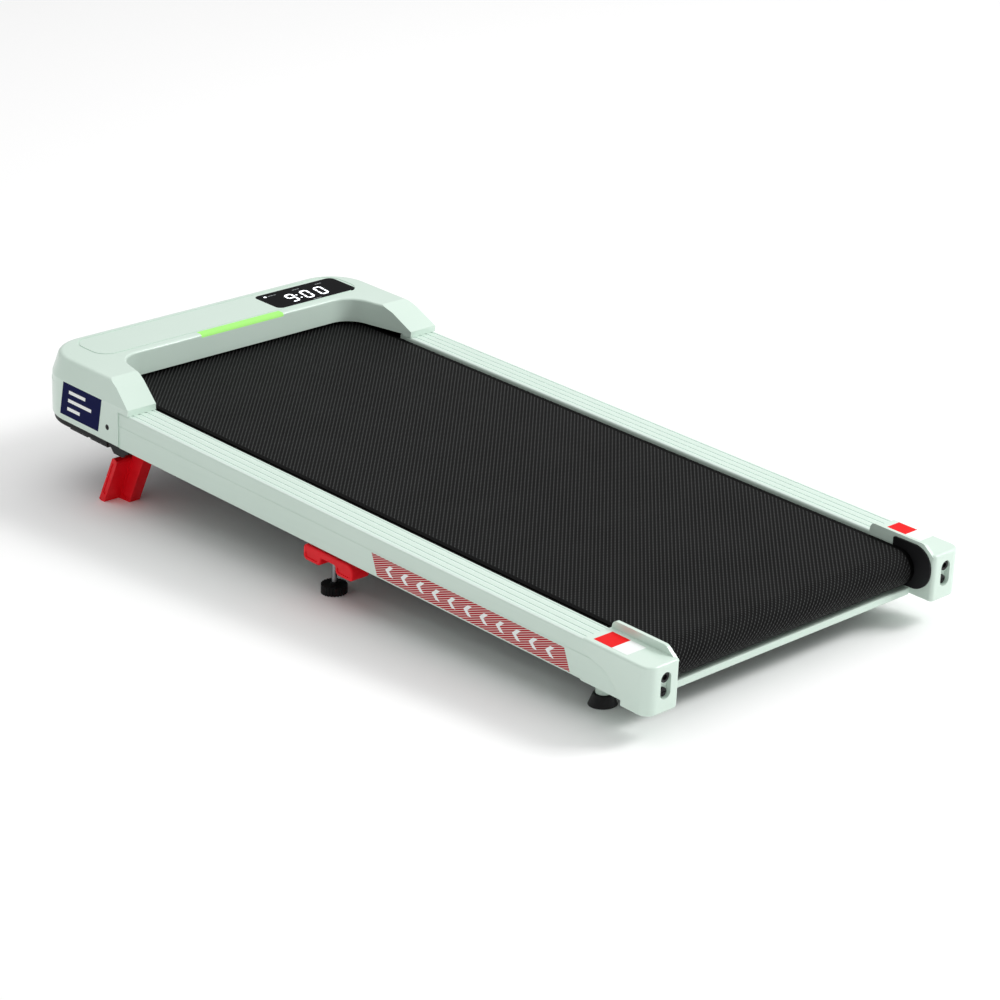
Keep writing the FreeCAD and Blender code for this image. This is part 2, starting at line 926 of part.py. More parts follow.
def front_frame():
    plate_front = base_front + plate_front_setback
    top = -rail_wall - fit_gap - spigot_wall
    side_plate = block(plate_front, rail_front, -plate_outer, -plate_inner, base_plate_top, top)
    side_plate = side_plate.cut(rod_y(front_roller_x, -plate_outer, -plate_inner, roller_z,
                                      axle_radius + running_gap))
    side_plate = side_plate.cut(rod_y(side_screw_x(), -plate_outer, -plate_inner, -side_screw_drop,
                                      side_screw_shank_radius + running_gap))
    side_plate = side_plate.cut(rod_y(wheel_x, -plate_outer, -plate_inner, wheel_axle_z(),
                                      wheel_axle_radius + running_gap))
    spigot = rail_hollow(rail_front, rail_front + spigot_length, fit_gap)
    spigot = spigot.cut(rail_hollow(rail_front - overrun, rail_front + spigot_length + overrun,
                                    fit_gap + spigot_wall))
    end_plate = rail_hollow(rail_front - plate_thickness, rail_front, fit_gap)
    lip_bottom = -hood_seam_drop - base_lip_height - fit_gap
    end_plate = end_plate.cut(block(rail_front - plate_thickness - overrun, rail_front, -rail_outer,
                                    -rail_inner, lip_bottom, 0))
    side = join([side_plate, end_plate, spigot])
    base_rear = base_front + base_plate_inset + base_plate_length
    base = base_prism(base_plate_inset, base_rear, tray_top, base_plate_top)
    for hand in (-1, 1):
        base = base.cut(wheel_well(hand))
    return Part.makeCompound([side, other_side(side), base])


# Drive: pulleys, drive belt, motor and controller

def grooved_pulley(x, z, radius, bore):
    """A pulley with fine grooves round its rim, on the left of the roller."""
    wheel = rod_y(x, -pulley_end, -pulley_start, z, radius)
    wheel = wheel.cut(rod_y(x, -pulley_end, -pulley_start, z, bore))
    pitch = (pulley_width - 2 * drive_belt_inset) / pulley_groove_count
    for index in range(pulley_groove_count):
        low = -pulley_end + drive_belt_inset + pitch * (index + 1 / 4)
        groove = rod_y(x, low, low + pitch / 2, z, radius + overrun)
        groove = groove.cut(rod_y(x, low, low + pitch / 2, z, radius - pulley_groove_depth))
        wheel = wheel.cut(groove)
    return wheel


def roller_pulley():
    bore = axle_radius + motion_gap
    rim = grooved_pulley(front_roller_x, roller_z, roller_pulley_radius, bore)
    hub = rod_y(front_roller_x, -pulley_start, -roller_length / 2, roller_z, pulley_hub_radius)
    hub = hub.cut(rod_y(front_roller_x, -pulley_start, -roller_length / 2, roller_z,
                        roller_radius - roller_wall + motion_gap))
    return rim.fuse(hub).removeSplitter()


def motor_pulley():
    return grooved_pulley(motor_x, motor_z, motor_pulley_radius, motor_shaft_radius + running_gap)


def motor_shaft():
    return rod_y(motor_x, -pulley_end, motor_end + motor_length / 2, motor_z, motor_shaft_radius)


def motor_housing():
    rear_end = motor_end + motor_length
    can = rod_y(motor_x, motor_end + motor_cap_length, rear_end - motor_cap_length, motor_z, motor_radius)
    near_cap = rod_y(motor_x, motor_end, motor_end + motor_cap_length, motor_z, motor_cap_radius)
    far_cap = rod_y(motor_x, rear_end - motor_cap_length, rear_end, motor_z, motor_cap_radius)
    bore = rod_y(motor_x, motor_end - overrun, motor_end + motor_length / 2 + fit_gap, motor_z,
                 motor_shaft_radius + running_gap)
    return join([can, near_cap, far_cap]).cut(bore)


def motor_bracket():
    middle = motor_end + motor_length / 2
    top = motor_z - motor_radius * bracket_grip_share
    low = middle - bracket_length / 2
    high = middle + bracket_length / 2
    saddle = block(motor_x - bracket_width / 2, motor_x + bracket_width / 2, low, high, base_plate_top, top)
    return saddle.cut(rod_y(motor_x, low - overrun, high + overrun, motor_z, motor_radius + running_gap))


def drive_belt():
    motor = V(motor_x, 0, motor_z)
    roller_centre = V(front_roller_x, 0, roller_z)
    small = motor_pulley_radius + belt_slack_gap
    large = roller_pulley_radius + belt_slack_gap
    low = -pulley_end + drive_belt_inset
    high = -pulley_start - drive_belt_inset
    thick = drive_belt_thickness
    outside = loop_between(motor, small + thick, roller_centre, large + thick, low, high)
    return outside.cut(loop_between(motor, small, roller_centre, large, low - overrun, high + overrun))


def controller_case():
    front = base_front + controller_setback
    rear = front + controller_width
    end = controller_start_y + controller_length
    wall = controller_wall
    top = base_plate_top + controller_height
    case = block(front, rear, controller_start_y, end, base_plate_top, top)
    case = case.cut(block(front + wall, rear - wall, controller_start_y + wall, end - wall,
                          base_plate_top + wall, top + overrun))
    posts = []
    inset = wall + board_post_radius / 2
    for x in (front + inset, rear - inset):
        for y in (controller_start_y + inset, end - inset):
            posts.append(rod_z(x, y, base_plate_top, base_plate_top + board_rise, board_post_radius))
    return case.fuse(posts).removeSplitter()


def controller_board():
    gap = controller_wall + fit_gap
    front = base_front + controller_setback + gap
    width = controller_width - 2 * gap
    start = controller_start_y + gap
    length = controller_length - 2 * gap
    bottom = base_plate_top + board_rise
    top = bottom + board_thickness
    board = block(front, front + width, start, start + length, bottom, top)
    sink_width = width * sink_width_share
    sink_length = length * sink_length_share
    sink = block(front, front + sink_width, start, start + sink_length, top, top + sink_height)
    tall = rod_z(front + width / 2, start + length - 2 * capacitor_radius, top, top + capacitor_height,
                 capacitor_radius)
    return join([board, sink, tall])


# Mains inlet, switch and breaker

def mains_inlet():
    y = inlet_centre_y
    z = -socket_drop
    wide = inlet_width / 2 - fit_gap
    tall = inlet_height / 2 - fit_gap
    front = base_front - flange_thickness
    body = block(base_front, base_front + inlet_depth, y - wide, y + wide, z - tall, z + tall)
    flange = prism(rectangle(y - wide - flange_width, y + wide + flange_width, z - tall - flange_width,
                             z + tall + flange_width, inlet_round), seen_from_front(front),
                   V(flange_thickness, 0, 0))
    inlet = body.fuse(flange).removeSplitter()
    floor = base_front + inlet_depth - inlet_floor
    socket = rectangle(y - wide + inlet_wall, y + wide - inlet_wall, z - tall + inlet_wall,
                       z + tall - inlet_wall, inlet_round)
    inlet = inlet.cut(prism(socket, seen_from_front(front - overrun), V(floor - front + overrun, 0, 0)))
    pins = []
    for offset, rise in ((-inlet_pin_spacing, -1), (0, 1), (inlet_pin_spacing, -1)):
        pin_z = z + rise * inlet_pin_width / 2
        pins.append(block(floor - inlet_pin_length, floor, y + offset - inlet_pin_thickness / 2,
                          y + offset + inlet_pin_thickness / 2, pin_z - inlet_pin_width / 2,
                          pin_z + inlet_pin_width / 2))
    return inlet.fuse(pins).removeSplitter()


def switch_bezel():
    y = switch_centre_y
    z = -socket_drop
    wide = switch_width / 2 - fit_gap
    tall = switch_height / 2 - fit_gap
    front = base_front - flange_thickness
    body = block(base_front, base_front + switch_depth, y - wide, y + wide, z - tall, z + tall)
    flange = block(front, base_front, y - wide - flange_width / 2, y + wide + flange_width / 2,
                   z - tall - flange_width / 2, z + tall + flange_width / 2)
    bezel = body.fuse(flange).removeSplitter()
    room = base_front + rocker_depth + motion_gap
    bezel = bezel.cut(block(front - overrun, room, y - wide + switch_wall, y + wide - switch_wall,
                            z - tall + switch_wall, z + tall - switch_wall))
    return bezel.cut(rod_z(rocker_x(), y, z - tall + switch_wall / 4, z + tall - switch_wall / 4,
                           rocker_axle_radius + running_gap))


def rocker_x():
    return base_front + rocker_axle_radius


def switch_rocker():
    """A rocker with a shallow V face that tips to either side about an upright axle."""
    y = switch_centre_y
    z = -socket_drop
    reach = switch_width / 2 - fit_gap - switch_wall - 2 * motion_gap
    tall = switch_height / 2 - fit_gap - switch_wall - motion_gap
    front = base_front - flange_thickness - rocker_rise
    corners = [
        (front, y - reach, 0),
        (front + rocker_rise / 2, y, 0),
        (front, y + reach, 0),
        (base_front, y + reach, 0),
        (base_front + rocker_depth / 2, y, 0),
        (base_front, y - reach, 0),
    ]
    body = prism(corners, seen_from_above(z - tall), V(0, 0, 2 * tall))
    pivot_reach = switch_height / 2 - fit_gap - switch_wall / 2
    pivot = rod_z(rocker_x(), y, z - pivot_reach, z + pivot_reach, rocker_axle_radius)
    return body.fuse(pivot).removeSplitter()


def breaker_body():
    y = breaker_centre_y
    z = -socket_drop
    barrel = rod_x(base_front, base_front + breaker_depth, y, z, breaker_radius - fit_gap)
    flange = rod_x(base_front - flange_thickness, base_front, y, z, breaker_flange_radius)
    bore_end = base_front - flange_thickness + button_length + button_travel
    bore = rod_x(base_front - flange_thickness - overrun, bore_end, y, z, button_radius + running_gap)
    return barrel.fuse(flange).removeSplitter().cut(bore)


def breaker_button():
    start = base_front - flange_thickness - button_proud
    return rod_x(start, start + button_length, breaker_centre_y, -socket_drop, button_radius)


# Rear caps, tension blocks, bolts and screws

def rear_cap():
    inner = -cap_inner
    bottom = cap_rise - cap_height
    plan = [
        (rail_rear, -half_width, 0),
        (0, -half_width, cap_corner),
        (0, inner, cap_corner / 3),
        (rail_rear, inner, 0),
    ]
    mass = prism(plan, seen_from_above(bottom), V(0, 0, cap_height))
    mass = rounded(mass, cap_round, lambda edge: cap_rim(edge, inner, bottom))
    mass = mass.cut(block(rail_rear - overrun, -cap_step_setback, -half_width - overrun, inner + overrun,
                          bottom - overrun, -rail_height))
    mass = mass.cut(under_the_tail())
    mass = rounded(mass, cap_seam_round, on_cap_seam)
    spigot = rail_hollow(rail_rear - cap_spigot_length, rail_rear, fit_gap)
    cap = join([mass, cap_lip(inner), spigot])
    cap = cap.cut(rail_tail(fit_gap))
    cap = cap.cut(tension_pocket())
    cap = cap.cut(oval_recess())
    cap = cap.cut(rod_x(bolt_tip(), overrun, -bolt_y, -bolt_drop, bolt_radius + running_gap))
    return cap.cut(rod_x(-recess_depth - cap_screw_length, overrun, -bolt_y, -cap_screw_drop,
                         cap_screw_radius + running_gap))


def oval_recess():
    """An upright oval pocket in the cap's rear face, over the bolt and the screw."""
    half = recess_width / 2
    low = -recess_drop - recess_height / 2 + half
    high = -recess_drop + recess_height / 2 - half
    middle = block(-recess_depth, overrun, -bolt_y - half, -bolt_y + half, low, high)
    ends = [rod_x(-recess_depth, overrun, -bolt_y, z, half) for z in (low, high)]
    return join([middle] + ends)


def under_the_tail():
    """The thin layer of the cap outside the rail's tail, which the cap's side stands proud of."""
    corners = [
        (rail_rear - overrun, -cap_height - overrun, 0),
        (-cap_step_setback + fit_gap, -cap_height - overrun, 0),
        (-cap_step_setback + fit_gap, -rail_height, 0),
        (-cap_knee_setback + fit_gap, -cap_knee_drop + fit_gap, cap_seam_bend),
        (rail_rear - overrun, -cap_seam_drop, 0),
    ]
    return prism(corners, seen_from_side(-half_width - overrun), V(0, overrun + rail_side_inset, 0))


def on_cap_seam(edge):
    """Whether an edge is the line where the cap's side stands proud of the rail's tail."""
    near = same_point * pad_length
    box = edge.BoundBox
    outside = abs(box.YMin + half_width) < near and box.YLength < near
    return outside and box.XMax < -cap_step_setback + overrun and box.XLength > near


def cap_lip(inner):
    """A low wall along the cap's inner edge that keeps feet off the roller's end."""
    top = cap_lip_rise
    rear = -cap_lip_rear_gap
    corners = [
        (rail_rear, -cap_lip_root, 0),
        (rail_rear + cap_lip_lean, top, cap_lip_front_round),
        (rear - cap_lip_slope_length, top, cap_lip_rear_round),
        (rear, -cap_round / 2, 0),
        (rear, -cap_lip_root, 0),
    ]
    return prism(corners, seen_from_side(inner - cap_lip_width), V(0, cap_lip_width, 0))


def cap_guard():
    """A dark plate on the cap's inner face, open round the axle's block."""
    inner = -cap_inner
    front = -guard_rear_gap - guard_length
    corners = [
        (front, -guard_drop, guard_front_round),
        (-guard_rear_gap, -guard_drop, guard_rear_round),
        (-guard_rear_gap, guard_rise, guard_rear_round),
        (front, guard_rise, guard_front_round),
    ]
    plate = prism(corners, seen_from_side(inner), V(0, guard_thickness, 0))
    return plate.cut(rod_y(rear_roller_x, inner - overrun, inner + guard_thickness + overrun, roller_z,
                           guard_hole_radius))


def cap_rim(edge, inner, bottom):
    """Whether an edge runs round the cap's top or bottom, away from the rail and the belt."""
    near = same_point * pad_length
    clear = edge.BoundBox.XMax > rail_rear + near and edge.BoundBox.YMin < inner - near
    return clear and (lies_at_height(edge, bottom) or lies_at_height(edge, cap_rise))


def bolt_tip():
    return rear_roller_x - block_length / 2 - block_travel / 2


def tension_pocket():
    """The slot in a cap where the axle's block slides to stretch the belt."""
    half = block_length / 2 + block_travel / 2
    outer = -cap_inner - block_width - fit_gap
    inner = -cap_inner + overrun
    return block(rear_roller_x - half, rear_roller_x + half, outer, inner,
                 -block_top_drop - block_height - fit_gap, -block_top_drop + fit_gap)


def tension_block():
    outer = -cap_inner - block_width
    slider = block(rear_roller_x - block_length / 2, rear_roller_x + block_length / 2, outer,
                   outer + block_width, -block_top_drop - block_height, -block_top_drop)
    slider = slider.cut(rod_y(rear_roller_x, outer - overrun, outer + block_width + overrun, roller_z,
                              axle_radius + running_gap))
    return slider.cut(rod_x(bolt_tip() - overrun, 0, -bolt_y, -bolt_drop, bolt_radius + running_gap))


def tension_bolt():
    head_seat = -recess_depth
    head = rod_x(head_seat, head_seat + bolt_head_length, -bolt_y, -bolt_drop, bolt_head_radius)
    shank = rod_x(bolt_tip() + motion_gap, head_seat, -bolt_y, -bolt_drop, bolt_radius)
    socket = rod_x(head_seat + bolt_head_length - bolt_socket_depth, overrun, -bolt_y, -bolt_drop,
                   bolt_socket_radius)
    return head.fuse(shank).removeSplitter().cut(socket)


def rear_cap_screw():
    seat = -recess_depth
    head = rod_x(seat, seat + cap_screw_head_length, -bolt_y, -cap_screw_drop, cap_screw_head_radius)
    shank = rod_x(seat - cap_screw_length, seat, -bolt_y, -cap_screw_drop, cap_screw_radius)
    screw = head.fuse(shank).removeSplitter()
    arm = cap_screw_head_radius - cap_screw_slot_width
    half = cap_screw_slot_width / 2
    depth = seat + cap_screw_head_length / 2
    for wide, tall in ((arm, half), (half, arm)):
        screw = screw.cut(block(depth, overrun, -bolt_y - wide, -bolt_y + wide, -cap_screw_drop - tall,
                                -cap_screw_drop + tall))
    return screw


# Feet

def rear_foot_pad():
    top = floor_height(rear_foot_x) + rear_foot_height
    cone = Part.makeCone(rear_foot_radius, rear_foot_top_radius, rear_foot_height + overrun,
                         V(rear_foot_x, -rear_foot_y, top - rear_foot_height - overrun), Z_AXIS)
    return above_floor(rounded(cone, rear_foot_round, lambda edge: lies_at_height(edge, top)))


def rear_foot_spacer():
    top = floor_height(rear_foot_x) + rear_foot_height
    return rod_z(rear_foot_x, -rear_foot_y, top, under_bar_bottom, rear_spacer_radius)


def knob_top():
    return floor_height(mid_foot_x) + knob_height


def levelling_knob():
    top = knob_top()
    disc = rod_z(mid_foot_x, -mid_foot_y, top - knob_height - overrun, top - knob_neck_height, knob_radius)
    for index in range(knob_flute_count):
        turn = 2 * math.pi * index / knob_flute_count
        x = mid_foot_x + knob_radius * math.cos(turn)
        y = -mid_foot_y + knob_radius * math.sin(turn)
        disc = disc.cut(rod_z(x, y, top - knob_height - 2 * overrun, top, knob_flute_radius))
    neck = rod_z(mid_foot_x, -mid_foot_y, top - knob_neck_height, top, knob_neck_radius)
    return above_floor(disc.fuse(neck).removeSplitter())


def levelling_screw():
    """A screw whose thread is drawn as a row of fine rings."""
    top = under_bar_bottom + screw_reach
    bottom = knob_top()
    screw = rod_z(mid_foot_x, -mid_foot_y, bottom, top, screw_radius)
    nut_bottom = under_bar_bottom - nut_length
    count = int((nut_bottom - bottom) / screw_pitch)
    for index in range(count):
        low = bottom + screw_pitch * (index + 1 / 4)
        cutter = rod_z(mid_foot_x, -mid_foot_y, low, low + screw_pitch / 2, screw_radius + overrun)
        core = rod_z(mid_foot_x, -mid_foot_y, low, low + screw_pitch / 2, screw_radius - screw_thread_depth)
        screw = screw.cut(cutter.cut(core))
    return screw


# Front legs, folded out

def front_leg():
    """An L-shaped leg: a broad flange in front, a rib behind it that turns on the hinge pin."""
    half = leg_rib_thickness / 2
    outer = -leg_rib_y - leg_rib_depth
    length = (hinge_z - floor_height(hinge_x)) / math.cos(math.radians(front_leg_lean_deg))
    foot = -length - leg_flange_thickness
    rib = block(-half, half, outer, -leg_rib_y, foot, 0)
    knuckle = rod_y(0, outer, -leg_rib_y, 0, half)
    flange_front = -half - leg_flange_thickness
    flange_outer = -leg_rib_y - leg_flange_depth
    flange = block(flange_front, -half, flange_outer, -leg_rib_y, foot, -leg_flange_start)
    flange = rounded(flange, leg_flange_round,
                     lambda edge: lies_at_height(edge, -leg_flange_start) and runs_along(edge, 1))
    leg = join([rib, knuckle, flange])
    margin = leg_panel_margin
    leg = leg.cut(block(flange_front + margin, -half - margin, flange_outer - overrun,
                        flange_outer + leg_panel_depth, -length + margin,
                        -leg_flange_start - margin - leg_flange_round))
    leg = leg.cut(block(-half + margin, half - margin, outer - overrun, outer + leg_panel_depth,
                        -length + margin, -leg_rib_thickness))
    leg = leg.cut(rod_y(0, outer + pin_skin, -leg_rib_y + overrun, 0, hinge_pin_radius + running_gap))
    leg.rotate(V(0, 0, 0), Y_AXIS, front_leg_lean_deg)
    leg.translate(V(hinge_x, 0, hinge_z))
    return above_floor(leg)


def front_leg_bracket():
    """A plate under the rail with a lug beside the leg and a downturned outer edge."""
    half = leg_rib_thickness / 2
    front = hinge_x - leg_plate_length / 2
    rear = hinge_x + leg_plate_length / 2
    outer = -half_width + leg_plate_inset
    bottom = -rail_height - leg_plate_thickness
    lug_outer = -leg_rib_y + motion_gap
    lug_inner = lug_outer + lug_thickness
    plate = block(front, rear, outer, lug_inner, bottom, -rail_height)
    web = block(hinge_x - half, hinge_x + half, lug_outer, lug_inner, hinge_z, bottom)
    eye = rod_y(hinge_x, lug_outer, lug_inner, hinge_z, half)
    skirt = [
        (front + leg_skirt_inset, bottom, 0),
        (front + leg_skirt_inset + leg_skirt_slope, bottom - leg_skirt_drop, leg_skirt_round),
        (rear - leg_skirt_inset - leg_skirt_slope, bottom - leg_skirt_drop, leg_skirt_round),
        (rear - leg_skirt_inset, bottom, 0),
    ]
    edge = prism(skirt, seen_from_side(outer), V(0, leg_skirt_thickness, 0))
    bracket = join([plate, web, eye, edge])
    return bracket.cut(rod_y(hinge_x, lug_outer - overrun, lug_inner + overrun, hinge_z,
                             hinge_pin_radius + running_gap))


def front_leg_pin():
    inner = -leg_rib_y + motion_gap + lug_thickness
    outer = -leg_rib_y - leg_rib_depth + pin_skin + motion_gap
    return headed_pin(hinge_x, hinge_z, outer, inner)


def headed_pin(x, z, outer, inner):
    """A hinge pin that ends inside the leg and has its head on the lug's inner side."""
    shank = rod_y(x, outer, inner, z, hinge_pin_radius)
    head = rod_y(x, inner, inner + pin_head_length, z, pin_head_radius)
    return join([shank, head])


# Mid legs, folded up under the rails

def mid_leg():
    """A bar with two lobes and a finger notch between them, turning on a pin at its rear end."""
    rear = mid_hinge_x + mid_leg_end_radius
    front = rear - mid_leg_length
    top = mid_hinge_z + mid_leg_end_radius
    bar_bottom = top - mid_leg_bar_height
    bottom = bar_bottom - mid_leg_lobe_height
    lobe = (mid_leg_length - mid_leg_notch_width) / 2
    outer = -half_width + mid_leg_inset
    small = mid_leg_notch_round
    outline = [
        (front, top, mid_leg_lobe_round),
        (front, bottom, mid_leg_lobe_round),
        (front + lobe, bottom, mid_leg_lobe_round),
        (front + lobe, bar_bottom, small),
        (rear - lobe, bar_bottom, small),
        (rear - lobe, bottom, mid_leg_lobe_round),
        (rear, bottom, mid_leg_lobe_round),
        (rear, top, mid_leg_end_radius),
    ]
    leg = prism(outline, seen_from_side(outer), V(0, mid_leg_depth, 0))
    boss = [
        (rear - mid_leg_boss_length, top, small),
        (rear - mid_leg_boss_length, bottom, mid_leg_lobe_round),
        (rear, bottom, mid_leg_lobe_round),
        (rear, top, mid_leg_end_radius),
    ]
    leg = leg.fuse(prism(boss, seen_from_side(outer), V(0, mid_leg_boss_depth, 0))).removeSplitter()
    leg = rounded(leg, mid_leg_edge_round, lambda edge: edge.BoundBox.YMax < outer + same_point * pad_length)
    margin = mid_leg_panel_margin
    pocket_top = bar_bottom - small
    for low in (front, rear - lobe):
        pocket = rectangle(low + margin, low + lobe - margin, bottom + margin, pocket_top + margin, small)
        leg = leg.cut(prism(pocket, seen_from_side(outer - overrun), V(0, overrun + mid_leg_panel_depth, 0)))
    return leg.cut(rod_y(mid_hinge_x, outer + pin_skin, outer + mid_leg_boss_depth + overrun, mid_hinge_z,
                         hinge_pin_radius + running_gap))


def mid_lug_outer():
    return -half_width + mid_leg_inset + mid_leg_boss_depth + motion_gap


def mid_leg_bracket():
    low = mid_lug_outer()
    half = mid_leg_end_radius
    web = block(mid_hinge_x - half, mid_hinge_x + half, low, low + lug_thickness, mid_hinge_z, -rail_height)
    eye = rod_y(mid_hinge_x, low, low + lug_thickness, mid_hinge_z, half)
    lug = web.fuse(eye).removeSplitter()
    return lug.cut(rod_y(mid_hinge_x, low - overrun, low + lug_thickness + overrun, mid_hinge_z,
                         hinge_pin_radius + running_gap))


def mid_leg_pin():
    inner = mid_lug_outer() + lug_thickness
    outer = -half_width + mid_leg_inset + pin_skin + motion_gap
    return headed_pin(mid_hinge_x, mid_hinge_z, outer, inner)


# Transport wheels

def wheel_axle_z():
    return wheel_z + base_plate_top - tray_top


def transport_wheel():
    half = wheel_width / 2
    z = wheel_axle_z()
    wheel = rod_y(wheel_x, -wheel_y - half, -wheel_y + half, z, wheel_radius)
    wheel = rounded(wheel, wheel_tyre_round, lambda edge: edge.BoundBox.YLength < same_point * pad_length)
    groove = rod_y(wheel_x, -wheel_y - wheel_groove_width / 2, -wheel_y + wheel_groove_width / 2, z,
                   wheel_radius + overrun)
    groove = groove.cut(rod_y(wheel_x, -wheel_y - half, -wheel_y + half, z,
                              wheel_radius - wheel_groove_depth))
    bore = rod_y(wheel_x, -wheel_y - half - overrun, -wheel_y + half + overrun, z,
                 wheel_axle_radius + running_gap)
    return wheel.cut(groove).cut(bore)


def wheel_axle():
    return rod_y(wheel_x, -plate_outer, -wheel_y + wheel_width / 2, wheel_axle_z(), wheel_axle_radius)


# Vibration motor

def shaker_x():
    places = member_places()
    middle = member_count // 2
    return (places[middle - 1] + places[middle]) / 2


def vibration_motor():
    x = shaker_x()
    half = shaker_length / 2
    can = rod_y(x, -half, half, -shaker_drop, shaker_radius)
    foot = block(x - shaker_foot_length / 2, x + shaker_foot_length / 2, -shaker_foot_width / 2,
                 shaker_foot_width / 2, -shaker_drop, deck_bottom)
    bore = rod_y(x, -half - overrun, half + overrun, -shaker_drop, shaker_shaft_radius + running_gap)
    return can.fuse(foot).removeSplitter().cut(bore)


def vibration_weights():
    """A shaft with a half disc at each end, which hangs below the shaft at rest."""
    x = shaker_x()
    start = shaker_length / 2 + motion_gap
    end = start + weight_length
    shaft = rod_y(x, -end, end, -shaker_drop, shaker_shaft_radius)
    halves = []
    for side in (-1, 1):
        disc = rod_y(x, side * start, side * end, -shaker_drop, weight_radius)
        halves.append(disc.cut(block(x - weight_radius, x + weight_radius, side * start, side * end,
                                     -shaker_drop, -shaker_drop + weight_radius)))
    return join([shaft] + halves)


def all_pieces():
    """Every piece by name, in the level frame."""
    left_rail = side_rail()
    left_cap = rear_cap()
    left_bolt = tension_bolt()
    left_knob = levelling_knob()
    left_screw = levelling_screw()
    left_front_leg = front_leg()
    left_mid_leg = mid_leg()
    left_wheel = transport_wheel()
    rear_axle_reach = cap_inner + block_width
    return {
        "left_side_rail": left_rail,
        "right_side_rail": other_side(left_rail),
        "deck_board": deck_board(),
        "deck_cushions": deck_cushions(),
        "cross_members": cross_members(),
        "under_crossbars": under_crossbars(),
        "rear_crossbar": rear_crossbar(),
        "walking_belt": walking_belt(),
        "front_roller": roller(front_roller_x),
        "rear_roller": roller(rear_roller_x),
        "front_axle": axle(front_roller_x, plate_outer),
        "rear_axle": axle(rear_roller_x, rear_axle_reach),
        "roller_bearings": roller_bearings(),
        "roller_pulley": roller_pulley(),
        "drive_belt": drive_belt(),
        "motor_housing": motor_housing(),
        "motor_shaft": motor_shaft(),
        "motor_pulley": motor_pulley(),
        "motor_bracket": motor_bracket(),
        "front_frame": front_frame(),
        "controller_case": controller_case(),
        "controller_board": controller_board(),
        "hood_cover": hood_cover(),
        "hood_base": hood_base(),
        "bottom_tray": bottom_tray(),
        "display_window": display_window(),
        "display_boards": display_boards(),
        "light_bar_lens": light_bar_lens(),
        "mains_inlet": mains_inlet(),
        "switch_bezel": switch_bezel(),
        "switch_rocker": switch_rocker(),
        "breaker_body": breaker_body(),
        "breaker_button": breaker_button(),
        "hood_side_screws": hood_side_screws(),
        "left_rear_cap": left_cap,
        "right_rear_cap": other_side(left_cap),
        "tension_blocks": both_sides(tension_block()),
        "left_tension_bolt": left_bolt,
        "right_tension_bolt": other_side(left_bolt),
        "rear_cap_screws": both_sides(rear_cap_screw()),
        "cap_guards": both_sides(cap_guard()),
        "rear_foot_pads": both_sides(rear_foot_pad()),
        "rear_foot_spacers": both_sides(rear_foot_spacer()),
        "left_levelling_knob": left_knob,
        "right_levelling_knob": other_side(left_knob),
        "left_levelling_screw": left_screw,
        "right_levelling_screw": other_side(left_screw),
        "left_front_leg": left_front_leg,
        "right_front_leg": other_side(left_front_leg),
        "front_leg_brackets": both_sides(front_leg_bracket()),
        "left_mid_leg": left_mid_leg,
        "right_mid_leg": other_side(left_mid_leg),
        "mid_leg_brackets": both_sides(mid_leg_bracket()),
        "leg_hinge_pins": Part.makeCompound([both_sides(front_leg_pin()), both_sides(mid_leg_pin())]),
        "left_transport_wheel": left_wheel,
        "right_transport_wheel": other_side(left_wheel),
        "transport_axles": both_sides(wheel_axle()),
        "vibration_motor": vibration_motor(),
        "vibration_weights": vibration_weights(),
    }


def stance_of(pieces):
    """The move that tips the level pad onto its feet, centred over the origin, with the floor at z = 0."""
    tip = FreeCAD.Placement(V(0, 0, 0), FreeCAD.Rotation(Y_AXIS, incline_deg))
    low = min(shape.transformed(tip.toMatrix()).BoundBox.XMin for shape in pieces.values())
    high = max(shape.transformed(tip.toMatrix()).BoundBox.XMax for shape in pieces.values())
    sole = tip.multVec(V(rear_foot_x, 0, floor_height(rear_foot_x)))
    return FreeCAD.Placement(V(-(low + high) / 2, 0, -sole.z), FreeCAD.Rotation(Y_AXIS, incline_deg))


os.makedirs("parts", exist_ok=True)
pieces = all_pieces()
stance = stance_of(pieces)
for name, shape in pieces.items():
    shape.transformed(stance.toMatrix()).exportStep("parts/" + name + ".step")
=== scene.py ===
import json
import math

import bmesh
import bpy
from mathutils import Matrix, Vector


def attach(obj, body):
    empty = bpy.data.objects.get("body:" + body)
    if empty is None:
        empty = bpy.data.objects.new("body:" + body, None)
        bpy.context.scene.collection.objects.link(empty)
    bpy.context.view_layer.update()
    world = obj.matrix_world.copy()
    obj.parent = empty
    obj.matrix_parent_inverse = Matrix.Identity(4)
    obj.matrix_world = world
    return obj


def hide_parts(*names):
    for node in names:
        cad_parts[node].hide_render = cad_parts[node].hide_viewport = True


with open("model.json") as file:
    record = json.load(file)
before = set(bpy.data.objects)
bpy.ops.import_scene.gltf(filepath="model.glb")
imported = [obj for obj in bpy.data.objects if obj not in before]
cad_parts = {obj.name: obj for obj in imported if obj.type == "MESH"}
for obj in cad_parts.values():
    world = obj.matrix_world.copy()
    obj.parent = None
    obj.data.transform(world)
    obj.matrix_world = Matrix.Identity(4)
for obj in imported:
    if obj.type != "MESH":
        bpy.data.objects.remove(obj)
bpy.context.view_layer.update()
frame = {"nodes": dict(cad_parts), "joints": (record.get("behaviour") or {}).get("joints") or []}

nodes = frame["nodes"]

